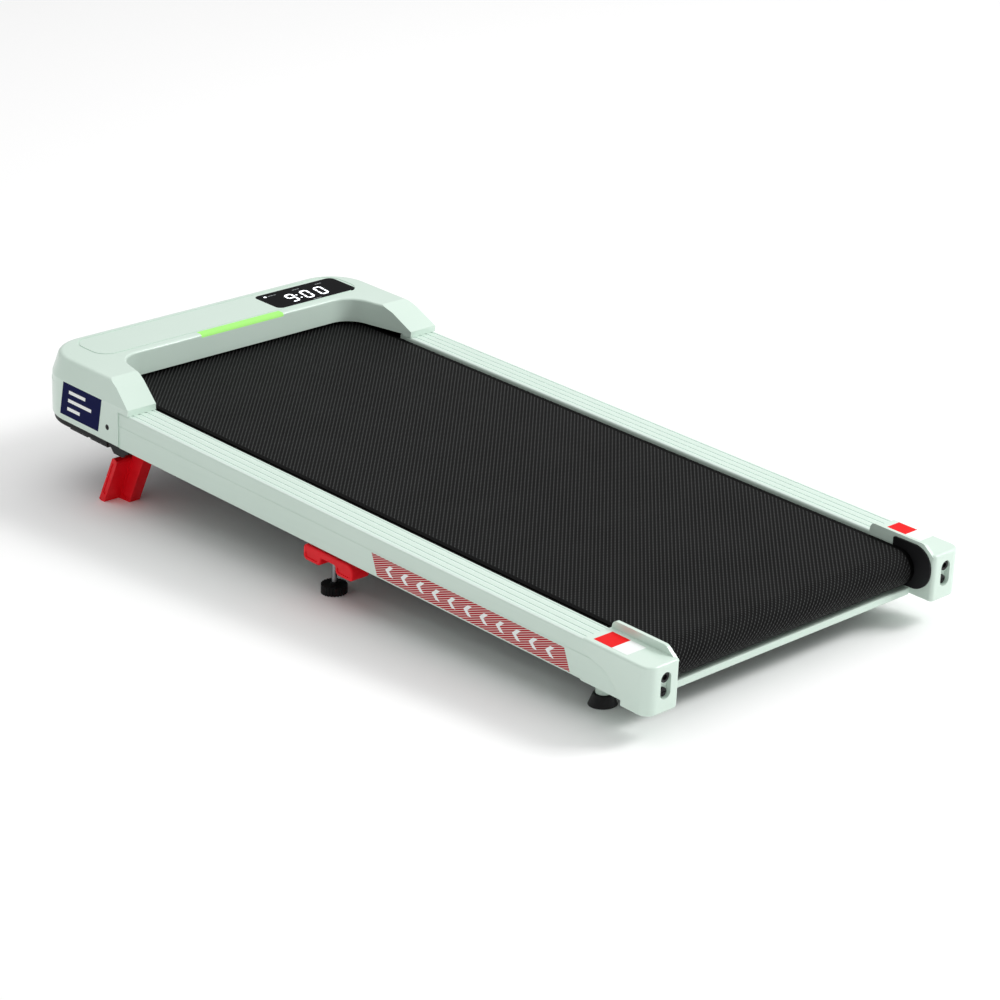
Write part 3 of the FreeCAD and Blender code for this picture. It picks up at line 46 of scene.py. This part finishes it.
# Side rails: two hollow aluminium extrusions with ridged tops, powder coated in pale mint.
# They carry the deck and everything below it, and set the pad's tilt, which the two roller
# axles show. Every piece below is drawn level, in metres, then tipped with them.
axles = {joint["name"]: Vector(joint["pos_m"]) for joint in frame["joints"] if "pos_m" in joint}
front_axle = axles["front_roller_spin"]
rear_axle = axles["rear_roller_spin"]
rear_axle_level = Vector((-0.047, 0, -0.0243))
tilt = math.atan2(front_axle.z - rear_axle.z, rear_axle.x - front_axle.x)
from_level_axle = Matrix.Translation(-rear_axle_level)
tipped = Matrix.Translation(rear_axle) @ Matrix.Rotation(tilt, 4, "Y") @ from_level_axle


class Value:
    """A shader number that can be used in Python sums."""

    def __init__(self, finish, socket):
        self.finish = finish
        self.socket = socket

    def sum(self, operation, first, second=0.0):
        made = self.finish.node("ShaderNodeMath", {"operation": operation}, {0: first, 1: second})
        return Value(self.finish, made.outputs[0])

    def __add__(self, other):
        return self.sum("ADD", self, other)

    def __radd__(self, other):
        return self.sum("ADD", other, self)

    def __sub__(self, other):
        return self.sum("SUBTRACT", self, other)

    def __rsub__(self, other):
        return self.sum("SUBTRACT", other, self)

    def __mul__(self, other):
        return self.sum("MULTIPLY", self, other)

    def __rmul__(self, other):
        return self.sum("MULTIPLY", other, self)

    def __truediv__(self, other):
        return self.sum("DIVIDE", self, other)

    def wave(self):
        """A triangle wave of period one, from 0 to 1 and back."""
        return self.sum("PINGPONG", self, 0.5) * 2.0

    def within(self, low, high):
        """0 at low, 1 at high, held at both ends."""
        made = self.finish.node("ShaderNodeMapRange", {"clamp": True, "interpolation_type": "SMOOTHSTEP"},
                                {"Value": self, "From Min": low, "From Max": high})
        return Value(self.finish, made.outputs[0])

    def least(self, other):
        return self.sum("MINIMUM", self, other)

    def size(self):
        """How far from zero, to either side."""
        return self.sum("ABSOLUTE", self)


class Finish:
    """One material: a Principled shader and the nodes that vary it."""

    def __init__(self, name, **constants):
        self.material = bpy.data.materials.new(name)
        self.material.use_nodes = True
        self.tree = self.material.node_tree
        self.shader = self.tree.nodes["Principled BSDF"]
        for key, value in constants.items():
            self.shader.inputs[key.replace("_", " ")].default_value = value

    def node(self, kind, settings=None, inputs=None):
        made = self.tree.nodes.new(kind)
        for key, value in (settings or {}).items():
            setattr(made, key, value)
        for key, value in (inputs or {}).items():
            self.feed(made.inputs[key], value)
        return made

    def feed(self, socket, value):
        if isinstance(value, Value):
            self.tree.links.new(value.socket, socket)
        elif isinstance(value, bpy.types.NodeSocket):
            self.tree.links.new(value, socket)
        else:
            socket.default_value = value

    def places(self, kind="Object"):
        return self.node("ShaderNodeTexCoord").outputs[kind]

    def stretched(self, scale, kind="Object", turn=(0, 0, 0)):
        made = self.node("ShaderNodeMapping", None,
                         {"Vector": self.places(kind), "Rotation": turn, "Scale": scale})
        return made.outputs[0]

    def noise(self, scale, detail=3.0, rough=0.55, where=None):
        made = self.node("ShaderNodeTexNoise", None,
                         {"Vector": where or self.places(), "Scale": scale, "Detail": detail,
                          "Roughness": rough})
        return Value(self, made.outputs[0])

    def parts(self, vector):
        made = self.node("ShaderNodeSeparateXYZ", None, {0: vector})
        return [Value(self, socket) for socket in made.outputs]

    def mix(self, share, first, second):
        made = self.node("ShaderNodeMix", {"data_type": "RGBA"}, {0: share, 6: first, 7: second})
        return made.outputs[2]

    def colour(self, value):
        self.feed(self.shader.inputs["Base Color"], value)

    def rough(self, value):
        self.feed(self.shader.inputs["Roughness"], value)

    def bump(self, height, depth, strength=1.0):
        made = self.node("ShaderNodeBump", None, {"Height": height, "Distance": depth, "Strength": strength})
        self.feed(self.shader.inputs["Normal"], made.outputs[0])

    def wear(self, *names):
        for name in names:
            nodes[name].data.materials.clear()
            nodes[name].data.materials.append(self.material)


def rgb(red, green, blue):
    """A colour given as it looks on a screen, from 0 to 255, as shader light."""
    light = []
    for share in (red / 255, green / 255, blue / 255):
        light.append(share / 12.92 if share <= 0.04045 else ((share + 0.055) / 1.055) ** 2.4)
    return (*light, 1.0)


mint = rgb(213, 231, 220)
mint_deep = rgb(208, 227, 215)
mint_coat = Finish("mint_powder_coat", Specular_IOR_Level=0.45)
grain = mint_coat.noise(1.0, 4.0, 0.6, mint_coat.stretched((1.5, 260, 260)))
cloud = mint_coat.noise(5.0, 2.0)
peel = mint_coat.noise(1400.0, 1.0)
_, _, upward = mint_coat.parts(mint_coat.stretched((1, 1, 1), turn=(0, -tilt, 0)))
rail_top = (Matrix.Rotation(-tilt, 4, "Y") @ tipped).translation.z
below_top = rail_top - upward
# Painted highlight: from just under the rail's top down to near the groove floors, the groove walls and
# rounded edges are painted lighter than the coat, where the grooves would fall into shade.
painted_light_start = (0.00005, 0.0002)
painted_light_end = (0.0009, 0.0012)
edge = below_top.within(*painted_light_start) * (1.0 - below_top.within(*painted_light_end))
coat = mint_coat.mix((grain * 0.4 + cloud * 0.6).within(0.3, 0.7), mint_deep, mint)
mint_coat.colour(mint_coat.mix(edge, coat, rgb(232, 246, 239)))
mint_coat.rough(0.30 + grain * 0.12 + peel * 0.04)
mint_coat.bump(grain * 0.5 + peel * 0.5, 0.00005, 0.6)
mint_coat.wear("left_side_rail", "right_side_rail", "rear_crossbar", "rear_foot_spacers")


# Striped decal on each rail's outer side: a printed film of fine red lines, cut to a leaning
# strip, with plain white arrowheads printed over it.
def settled(bm, name, body, finish):
    """A finished mesh, tipped with the pad, as a piece that rides on a body."""
    bmesh.ops.remove_doubles(bm, verts=bm.verts, dist=1e-6)
    bmesh.ops.recalc_face_normals(bm, faces=bm.faces)
    mesh = bpy.data.meshes.new(name)
    bm.to_mesh(mesh)
    bm.free()
    mesh.transform(tipped)
    piece = bpy.data.objects.new(name, mesh)
    bpy.context.scene.collection.objects.link(piece)
    mesh.materials.append(finish.material)
    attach(piece, body)
    return piece


def plate(bm, corners, thickness):
    """A thin plate on flat corners, grown along its own normal."""
    face = bm.faces.new([bm.verts.new(corner) for corner in corners])
    face.normal_update()
    outward = face.normal.copy()
    grown = bmesh.ops.extrude_face_region(bm, geom=[face])
    moved = [item for item in grown["geom"] if isinstance(item, bmesh.types.BMVert)]
    bmesh.ops.translate(bm, verts=moved, vec=outward * thickness)


rail_side = 0.2485
film = 0.00016
decal_top, decal_bottom = -0.0204, -0.0455
decal_front, decal_rear, decal_lean = -0.436, -0.126, 0.010
stripe_pitch = 0.0027
stripe_climb = 0.39
decal_finish = Finish("striped_film", Specular_IOR_Level=0.15)
along, _, upward = decal_finish.parts(decal_finish.stretched((1, 1, 1), turn=(0, -tilt, 0)))
stripe = ((upward - along * stripe_climb) / stripe_pitch).wave().within(0.22, 0.34)
fleck = decal_finish.noise(600.0, 2.0)
decal_finish.colour(decal_finish.mix(stripe, rgb(226, 214, 208), rgb(172, 14, 30)))
decal_finish.rough(0.34 + fleck * 0.1)
decal_finish.bump(stripe * 0.7 + fleck * 0.3, 0.00002, 0.5)
white_film = Finish("white_film", Specular_IOR_Level=0.4)
speck = white_film.noise(500.0, 2.0)
white_film.colour(white_film.mix(speck, rgb(236, 240, 238), rgb(248, 250, 249)))
white_film.rough(0.36 + speck * 0.1)
white_film.bump(speck, 0.00002, 0.4)
arrow_count = 11
arrow_height = 0.0126
arrow_width = 0.0064
arrow_depth = 0.0070
for side, sign in (("left", -1), ("right", 1)):
    bm = bmesh.new()
    y = sign * rail_side
    ring = [(decal_front, decal_top), (decal_front + decal_lean, decal_bottom),
            (decal_rear + decal_lean, decal_bottom), (decal_rear, decal_top)]
    plate(bm, [(x, y, z) for x, z in (ring if sign < 0 else ring[::-1])], film)
    settled(bm, side + "_rail_decal", "chassis", decal_finish)
    bm = bmesh.new()
    y = sign * (rail_side + film)
    middle = (decal_top + decal_bottom) / 2
    step = (decal_rear - decal_front) / (arrow_count + 1)
    for index in range(arrow_count):
        x = decal_front + decal_lean / 2 + step * (index + 1)
        half = arrow_height / 2
        ring = [(x - arrow_depth, middle), (x, middle - half), (x + arrow_width, middle - half),
                (x + arrow_width - arrow_depth, middle), (x + arrow_width, middle + half),
                (x, middle + half)]
        plate(bm, [(u, y, v) for u, v in (ring if sign < 0 else ring[::-1])], film / 2)
    settled(bm, side + "_rail_arrows", "chassis", white_film)


# Deck: a pressed board faced with waxed black film, on rubber cushions over steel cross members.
# Two more steel tubes run under the rails and carry the feet. Tubes and cross members are painted
# black, and so are the front frame, the brackets and the two motors.
board = Finish("film_faced_board", Specular_IOR_Level=0.06)
chips = board.noise(1.0, 6.0, 0.7, board.stretched((30, 160, 160)))
board.colour(board.mix(chips.within(0.3, 0.7), rgb(9, 9, 9), rgb(22, 21, 20)))
board.rough(0.5 + chips * 0.2)
board.bump(chips, 0.0002, 0.5)
board.wear("deck_board")
black_coat = Finish("black_enamel", Specular_IOR_Level=0.2)
peel = black_coat.noise(700.0, 2.0)
dust = black_coat.noise(9.0, 5.0, 0.65)
black_coat.colour(black_coat.mix(dust.within(0.45, 0.8), rgb(24, 24, 26), rgb(40, 40, 42)))
black_coat.rough(0.36 + dust * 0.2)
black_coat.bump(peel, 0.00006, 0.6)
black_coat.wear("cross_members", "under_crossbars", "front_frame", "front_leg_brackets", "mid_leg_brackets",
                "motor_bracket", "motor_housing", "vibration_motor")


# Rollers: turned steel tubes on fixed axles, with a ball bearing pressed in at each end. The
# hinge pins, wheel axles and levelling screws are the same bright steel. The bolts and screws
# in the rear caps and the hood's sides are blackened.
bright_steel = Finish("turned_steel", Metallic=1.0)
lathe = bright_steel.noise(1.0, 5.0, 0.6, bright_steel.stretched((60, 900, 60)))
bright_steel.colour(bright_steel.mix(lathe, rgb(150, 152, 154), rgb(196, 198, 200)))
bright_steel.rough(0.22 + lathe * 0.22)
bright_steel.bump(lathe, 0.00003, 0.5)
bright_steel.wear("front_roller", "rear_roller", "front_axle", "rear_axle", "motor_shaft", "leg_hinge_pins",
                  "transport_axles", "vibration_weights", "roller_bearings", "left_levelling_screw",
                  "right_levelling_screw")
black_steel = Finish("blackened_steel", Metallic=0.25, Specular_IOR_Level=0.3)
scuff = black_steel.noise(240.0, 4.0, 0.6)
black_steel.colour(black_steel.mix(scuff.within(0.5, 0.75), rgb(22, 22, 24), rgb(58, 58, 60)))
black_steel.rough(0.30 + scuff * 0.2)
black_steel.bump(scuff, 0.00004, 0.5)
black_steel.wear("left_tension_bolt", "right_tension_bolt", "rear_cap_screws", "hood_side_screws")


# Walking belt: a black endless band of woven core under rubber, pressed with a fine raised
# lattice for grip, stretched round the two rollers and over the deck.
belt_half = 0.200
belt_thickness = 0.0015
belt_inner = 0.0203
belt_outer = belt_inner + belt_thickness
belt_run = (rear_axle - front_axle).length
turn_steps = 28
bm = bmesh.new()
start = [bm.verts.new((rear_axle_level.x - belt_run, y, rear_axle_level.z + belt_outer))
         for y in (-belt_half, belt_half)]
lead = bm.edges.new(start)


def drawn_on(edge, travel):
    """The next edge after pulling an edge along in a straight run."""
    grown = bmesh.ops.extrude_edge_only(bm, edges=[edge])["geom"]
    ends = [item for item in grown if isinstance(item, bmesh.types.BMVert)]
    bmesh.ops.translate(bm, verts=ends, vec=travel)
    sides = [item for item in grown if isinstance(item, bmesh.types.BMEdge)]
    return [side for side in sides if all(vert in ends for vert in side.verts)][0]


def turned_on(edge, centre):
    """The last edge after swinging an edge half way round a roller."""
    swung = bmesh.ops.spin(bm, geom=[edge, *edge.verts], cent=centre, axis=(0, 1, 0), angle=math.pi,
                           steps=turn_steps, use_merge=False, use_duplicate=False)
    return [item for item in swung["geom_last"] if isinstance(item, bmesh.types.BMEdge)][0]


rear_turn = rear_axle_level
front_turn = rear_axle_level - Vector((belt_run, 0, 0))
lead = drawn_on(lead, (belt_run, 0, 0))
lead = turned_on(lead, rear_turn)
lead = drawn_on(lead, (-belt_run, 0, 0))
lead = turned_on(lead, front_turn)
bmesh.ops.remove_doubles(bm, verts=bm.verts, dist=1e-5)
bmesh.ops.recalc_face_normals(bm, faces=bm.faces)
bmesh.ops.solidify(bm, geom=bm.faces[:], thickness=belt_thickness)
track = bm.loops.layers.uv.new("track")
for face in bm.faces:
    middle = face.calc_center_median()
    for loop in face.loops:
        co = loop.vert.co
        if middle.x > rear_turn.x:
            swing = math.atan2(co.x - rear_turn.x, co.z - rear_turn.z)
            along = belt_run + belt_outer * swing
        elif middle.x < front_turn.x:
            swing = math.atan2(front_turn.x - co.x, front_turn.z - co.z)
            along = 2 * belt_run + belt_outer * (math.pi + swing)
        elif middle.z > rear_turn.z:
            along = co.x - front_turn.x
        else:
            along = belt_run + belt_outer * math.pi + rear_turn.x - co.x
        loop[track].uv = (along, co.y)
belt_weave = Finish("belt_lattice", Specular_IOR_Level=0.05)
along, sideways, _ = belt_weave.parts(belt_weave.places("UV"))
lattice_pitch = 0.0060
rib = ((along + sideways) / lattice_pitch).wave().within(0.36, 0.94)
notch = ((along - sideways) / lattice_pitch).wave().within(0.10, 0.70)
selvedge_width = 0.0050
selvedge_blend = 0.0015
selvedge_edge = belt_half - selvedge_width
selvedge = sideways.size().within(selvedge_edge - selvedge_blend, selvedge_edge)
stud = rib * (0.20 + notch * 0.80) * (1.0 - selvedge)
worn = belt_weave.noise(14.0, 4.0, 0.6)
# Painted highlight and shade: the raised studs are painted lighter and the hollows between them near black,
# in place of light catching the studs; the blotchy noise mixed in is wear.
stud_highlight_and_wear = (stud * 0.85 + worn * 0.15) * (1.0 - selvedge)
belt_weave.colour(belt_weave.mix(stud_highlight_and_wear, rgb(1, 1, 1), rgb(73, 74, 74)))
belt_weave.rough(0.60 - stud * 0.32 + worn * 0.08)
belt_weave.bump(stud, 0.0018, 1.0)
belt = settled(bm, "walking_belt_lattice", "chassis", belt_weave)
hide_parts("walking_belt")


# Drive: a rubber belt from the motor's small pulley to the one on the front roller, all black.
# The pulleys' moulded black also serves the tray, guards, knobs, blocks, socket and bezel, and
# the belt's rubber the foot pads, cushions and wheels.
black_mould = Finish("moulded_black", Specular_IOR_Level=0.16)
pores = black_mould.noise(1600.0, 2.0)
haze = black_mould.noise(12.0, 3.0)
black_mould.colour(black_mould.mix(haze.within(0.3, 0.8), rgb(20, 20, 21), rgb(34, 34, 36)))
black_mould.rough(0.38 + pores * 0.18)
black_mould.bump(pores, 0.00006, 0.7)
black_mould.wear("bottom_tray", "cap_guards", "left_levelling_knob", "right_levelling_knob",
                 "controller_case", "mains_inlet", "switch_bezel", "breaker_body", "tension_blocks",
                 "roller_pulley", "motor_pulley")
soft_black = Finish("foot_rubber", Specular_IOR_Level=0.25)
bloom = soft_black.noise(60.0, 4.0, 0.6)
pores = soft_black.noise(2200.0, 1.0)
soft_black.colour(soft_black.mix(bloom.within(0.4, 0.8), rgb(14, 14, 15), rgb(34, 34, 35)))
soft_black.rough(0.20 + bloom * 0.25)
soft_black.bump(pores, 0.00005, 0.6)
soft_black.wear("rear_foot_pads", "deck_cushions", "drive_belt", "left_transport_wheel",
                "right_transport_wheel")


# Controller and display boards: green lacquered glass fibre with fine copper tracks under it.
# The controller's board lies in its black case, and the display's are fixed under the hood's top.
lacquer = Finish("green_lacquer", Specular_IOR_Level=0.5)
along, across, _ = lacquer.parts(lacquer.places())
track_pitch_along = 0.004
track_pitch_across = 0.006
nearest = (along / track_pitch_along).wave().least((across / track_pitch_across).wave())
tracks = nearest.within(0.06, 0.14)
mottle = lacquer.noise(90.0, 3.0)
lacquer.colour(lacquer.mix(tracks, rgb(70, 132, 84), rgb(18, 84, 44)))
lacquer.rough(0.25 + mottle * 0.15)
lacquer.bump(tracks, 0.00003, 0.5)
lacquer.wear("controller_board", "display_boards")


# Hood: a glossy moulded cover with two arms along the rails, on a deeper moulded base that
# wraps the motor. The rear caps are moulded in the same pale mint.
shell = Finish("mint_gloss", Specular_IOR_Level=0.5, Coat_Weight=0.25, Coat_Roughness=0.12)
cloud = shell.noise(4.0, 2.0)
peel = shell.noise(900.0, 2.0)
shell.colour(shell.mix(cloud.within(0.3, 0.7), mint_deep, mint))
shell.rough(0.24 + peel * 0.06 + cloud * 0.04)
shell.bump(peel, 0.00003, 0.4)
shell.wear("hood_cover", "hood_base", "left_rear_cap", "right_rear_cap")


# Label on the hood's left side: a plain dark blue film with white bars printed on it, cut to a
# leaning shape and stuck flat on the moulding.
label_blue = Finish("navy_film", Specular_IOR_Level=0.03)
speck = label_blue.noise(700.0, 2.0)
label_blue.colour(label_blue.mix(speck, rgb(6, 11, 56), rgb(12, 20, 76)))
label_blue.rough(0.3 + speck * 0.12)
label_blue.bump(speck, 0.00002, 0.4)
hood_side = 0.250
label_top, label_bottom = 0.0062, -0.0380
label_front, label_rear, label_lean = -1.0200, -0.9405, -0.0083
bm = bmesh.new()
plate(bm, [(label_front, -hood_side, label_top), (label_front + label_lean, -hood_side, label_bottom),
           (label_rear + label_lean, -hood_side, label_bottom), (label_rear, -hood_side, label_top)], film)
settled(bm, "hood_label", "chassis", label_blue)
bm = bmesh.new()
bar_height = 0.0045
bar_inset = 0.014
bar_lean = 0.0008
for share, length in ((0.24, 0.034), (0.50, 0.048), (0.76, 0.026)):
    middle = label_top + (label_bottom - label_top) * share
    top, bottom = middle + bar_height / 2, middle - bar_height / 2
    x = label_front + label_lean * share + bar_inset
    ring = [(x, top), (x - bar_lean, bottom), (x + length - bar_lean, bottom), (x + length, top)]
    plate(bm, [(u, -hood_side - film, v) for u, v in ring], film / 2)
settled(bm, "hood_label_bars", "chassis", white_film)


# Display: a dark tinted window set flush in the hood's top, with lit digits and small marks
# that show on its face. A frosted green strip glows along the hood's inner edge.
tint = Finish("tinted_window", Specular_IOR_Level=0.015)
smear = tint.noise(30.0, 3.0)
tint.colour(tint.mix(smear, rgb(6, 6, 8), rgb(12, 12, 15)))
tint.rough(0.10 + smear * 0.10)
tint.bump(smear, 0.00001, 0.3)
tint.wear("display_window")
lit = Finish("lit_segment", Base_Color=rgb(235, 240, 245), Emission_Strength=1.6)
glow = lit.noise(300.0, 2.0)
lit.feed(lit.shader.inputs["Emission Color"], lit.mix(glow, rgb(225, 232, 240), rgb(255, 255, 255)))
display_top = 0.0340
digit_height = 0.0275
digit_width = 0.0138
digit_slant = 0.16
stroke = 0.0029
segment_gap = 0.0005
mark_rise = 0.00012
strokes_of = {"9": "abcdfg", "0": "abcdef"}


def segment(bm, row, column, length, upright):
    """One lit stroke with pointed ends; rows run towards the belt, columns to the right."""
    half = stroke / 2
    reach = length / 2 - segment_gap
    ring = [(-reach, 0), (-reach + half, -half), (reach - half, -half), (reach, 0), (reach - half, half),
            (-reach + half, half)]
    if upright:
        spots = [(row + u, column + v, display_top) for u, v in ring]
    else:
        spots = [(row + v, column + u, display_top) for u, v in ring]
        spots = spots[::-1]
    plate(bm, spots, mark_rise)


bm = bmesh.new()
digit_top = -1.0418
digit_columns = (("9", 0.1217), ("0", 0.1469), ("0", 0.1708))
for figure, column in digit_columns:
    half_wide = (digit_width - stroke) / 2
    tall = digit_height - stroke
    top = digit_top + stroke / 2
    spots = {"a": (top, column, half_wide * 2, False), "g": (top + tall / 2, column, half_wide * 2, False),
             "d": (top + tall, column, half_wide * 2, False),
             "f": (top + tall / 4, column - half_wide, tall / 2, True),
             "b": (top + tall / 4, column + half_wide, tall / 2, True),
             "e": (top + tall * 3 / 4, column - half_wide, tall / 2, True),
             "c": (top + tall * 3 / 4, column + half_wide, tall / 2, True)}
    for name in strokes_of[figure]:
        segment(bm, *spots[name])
for vert in bm.verts:
    vert.co.y -= digit_slant * (vert.co.x - digit_top - digit_height / 2)
colon_column = 0.1333
colon_rows = (-1.0332, -1.0222)
colon_length = stroke * 1.6
for row in colon_rows:
    segment(bm, row, colon_column, colon_length, True)
settled(bm, "display_digits", "chassis", lit)
dim = Finish("dim_mark", Base_Color=rgb(120, 124, 126), Emission_Strength=0.35)
glow = dim.noise(900.0, 2.0)
dim.feed(dim.shader.inputs["Emission Color"], dim.mix(glow, rgb(90, 94, 96), rgb(190, 196, 198)))
bm = bmesh.new()
mark_row = -1.0505
low_mark_row = -1.0072
mark_places = ((mark_row, 0.1055, 0.013), (mark_row, 0.1460, 0.011), (mark_row, 0.1842, 0.010),
               (low_mark_row, 0.1480, 0.013))
mark_half_tall = 0.0007
mark_half_long_share = 0.14
mark_spread_shares = (-0.36, 0.0, 0.36)
for row, column, length in mark_places:
    low, high = row - mark_half_tall, row + mark_half_tall
    for share in mark_spread_shares:
        left = column + length * (share - mark_half_long_share)
        right = column + length * (share + mark_half_long_share)
        plate(bm, [(low, left, display_top), (high, left, display_top), (high, right, display_top),
                   (low, right, display_top)], mark_rise)
settled(bm, "display_marks", "chassis", dim)
bm = bmesh.new()
lamp_column = 0.0943
lamp_radius = 0.0022
disc = bmesh.ops.create_circle(bm, cap_ends=True, segments=20, radius=lamp_radius)
bmesh.ops.translate(bm, verts=disc["verts"], vec=(mark_row, lamp_column, display_top + mark_rise))
settled(bm, "display_lamp", "chassis", lit)
frost = Finish("green_frost", Emission_Strength=1.0, Specular_IOR_Level=0.1)
grain = frost.noise(500.0, 2.0)
frost.colour(rgb(90, 150, 60))
frost.feed(frost.shader.inputs["Emission Color"], frost.mix(grain, rgb(148, 206, 112), rgb(162, 216, 124)))
frost.rough(0.4 + grain * 0.2)
frost.wear("light_bar_lens")


# Folding legs: moulded in bright red, each on a steel pin in a bracket under its rail. The rocker
# beside the mains socket is the same red, and the reset button next to it is moulded black.
red_mould = Finish("moulded_red", Specular_IOR_Level=0.2)
pores = red_mould.noise(1300.0, 2.0)
flow = red_mould.noise(18.0, 3.0)
red_mould.colour(red_mould.mix(flow.within(0.3, 0.7), rgb(226, 10, 26), rgb(240, 20, 36)))
red_mould.rough(0.30 + pores * 0.12)
red_mould.bump(pores, 0.00005, 0.5)
red_mould.wear("switch_rocker", "left_front_leg", "right_front_leg", "left_mid_leg", "right_mid_leg")
black_mould.wear("breaker_button")


# Patches on the rear caps: a two-tone film, red towards the hood and white towards the rear,
# stuck flat on each cap's top beside the belt.
patch_red = Finish("red_film", Specular_IOR_Level=0.1)
speck = patch_red.noise(500.0, 2.0)
patch_red.colour(patch_red.mix(speck, rgb(226, 3, 6), rgb(240, 6, 10)))
patch_red.rough(0.34 + speck * 0.1)
patch_red.bump(speck, 0.00002, 0.4)
cap_top = 0.0015
patch_front, patch_split, patch_rear = -0.0892, -0.0622, -0.0397
patch_sides = (("left", -0.2427, -0.2147), ("right", 0.2205, 0.2465))
patch_halves = (("red", patch_front, patch_split, patch_red, "red_plastic"),
                ("white", patch_split, patch_rear, white_film, "mint_shell"))
for side, low, high in patch_sides:
    for tone, front, rear, finish, slot in patch_halves:
        bm = bmesh.new()
        plate(bm, [(front, low, cap_top), (rear, low, cap_top), (rear, high, cap_top),
                   (front, high, cap_top)], film)
        settled(bm, side + "_cap_patch_" + tone, "chassis", finish)


# Stage: a pale seamless floor under soft light from above, and a camera at chest height off
# the pad's rear left corner.
floor_size = 60
bpy.ops.mesh.primitive_plane_add(size=floor_size)
floor = bpy.context.object
floor.name = "studio_floor"
paper = Finish("studio_paper", Specular_IOR_Level=0.1)
paper.colour(rgb(255, 255, 255))
paper.rough(0.9)
floor.data.materials.append(paper.material)
world = bpy.data.worlds.new("studio")
bpy.context.scene.world = world
world.use_nodes = True
sky = world.node_tree.nodes["Background"]
sky.inputs["Color"].default_value = (1, 1, 1, 1)
sky.inputs["Strength"].default_value = 0.50


def soft_box(name, place, aim, width, height, power):
    light = bpy.data.lights.new(name, "AREA")
    light.shape = "RECTANGLE"
    light.size = width
    light.size_y = height
    light.energy = power
    lamp = bpy.data.objects.new(name, light)
    bpy.context.scene.collection.objects.link(lamp)
    lamp.location = place
    lamp.rotation_euler = (Vector(aim) - Vector(place)).to_track_quat("-Z", "Y").to_euler()


soft_box("ceiling_light", place=(-0.8, 2.0, 3.6), aim=(-0.8, 2.0, 0), width=9.0, height=9.0, power=140)
soft_box("key_light", place=(2.5, 2.5, 2.9), aim=(0, 0, 0), width=1.6, height=1.2, power=100)

view_azimuth = math.radians(47.08)
view_elevation = math.radians(20.97)
level_reach = math.cos(view_elevation)
back = Vector((math.sin(view_azimuth) * level_reach, -math.cos(view_azimuth) * level_reach,
               math.sin(view_elevation)))
view_from_tail = Vector((2.02117, -2.33802, 1.30028))
camera = bpy.data.cameras.new("camera")
camera.sensor_width = 36.0
camera.lens = 111.904
stand = bpy.data.objects.new("camera", camera)
bpy.context.scene.collection.objects.link(stand)
stand.location = tipped.translation + view_from_tail
stand.rotation_mode = "QUATERNION"
stand.rotation_quaternion = (-back).to_track_quat("-Z", "Y")
bpy.context.scene.camera = stand
bpy.context.scene.view_settings.view_transform = "Standard"
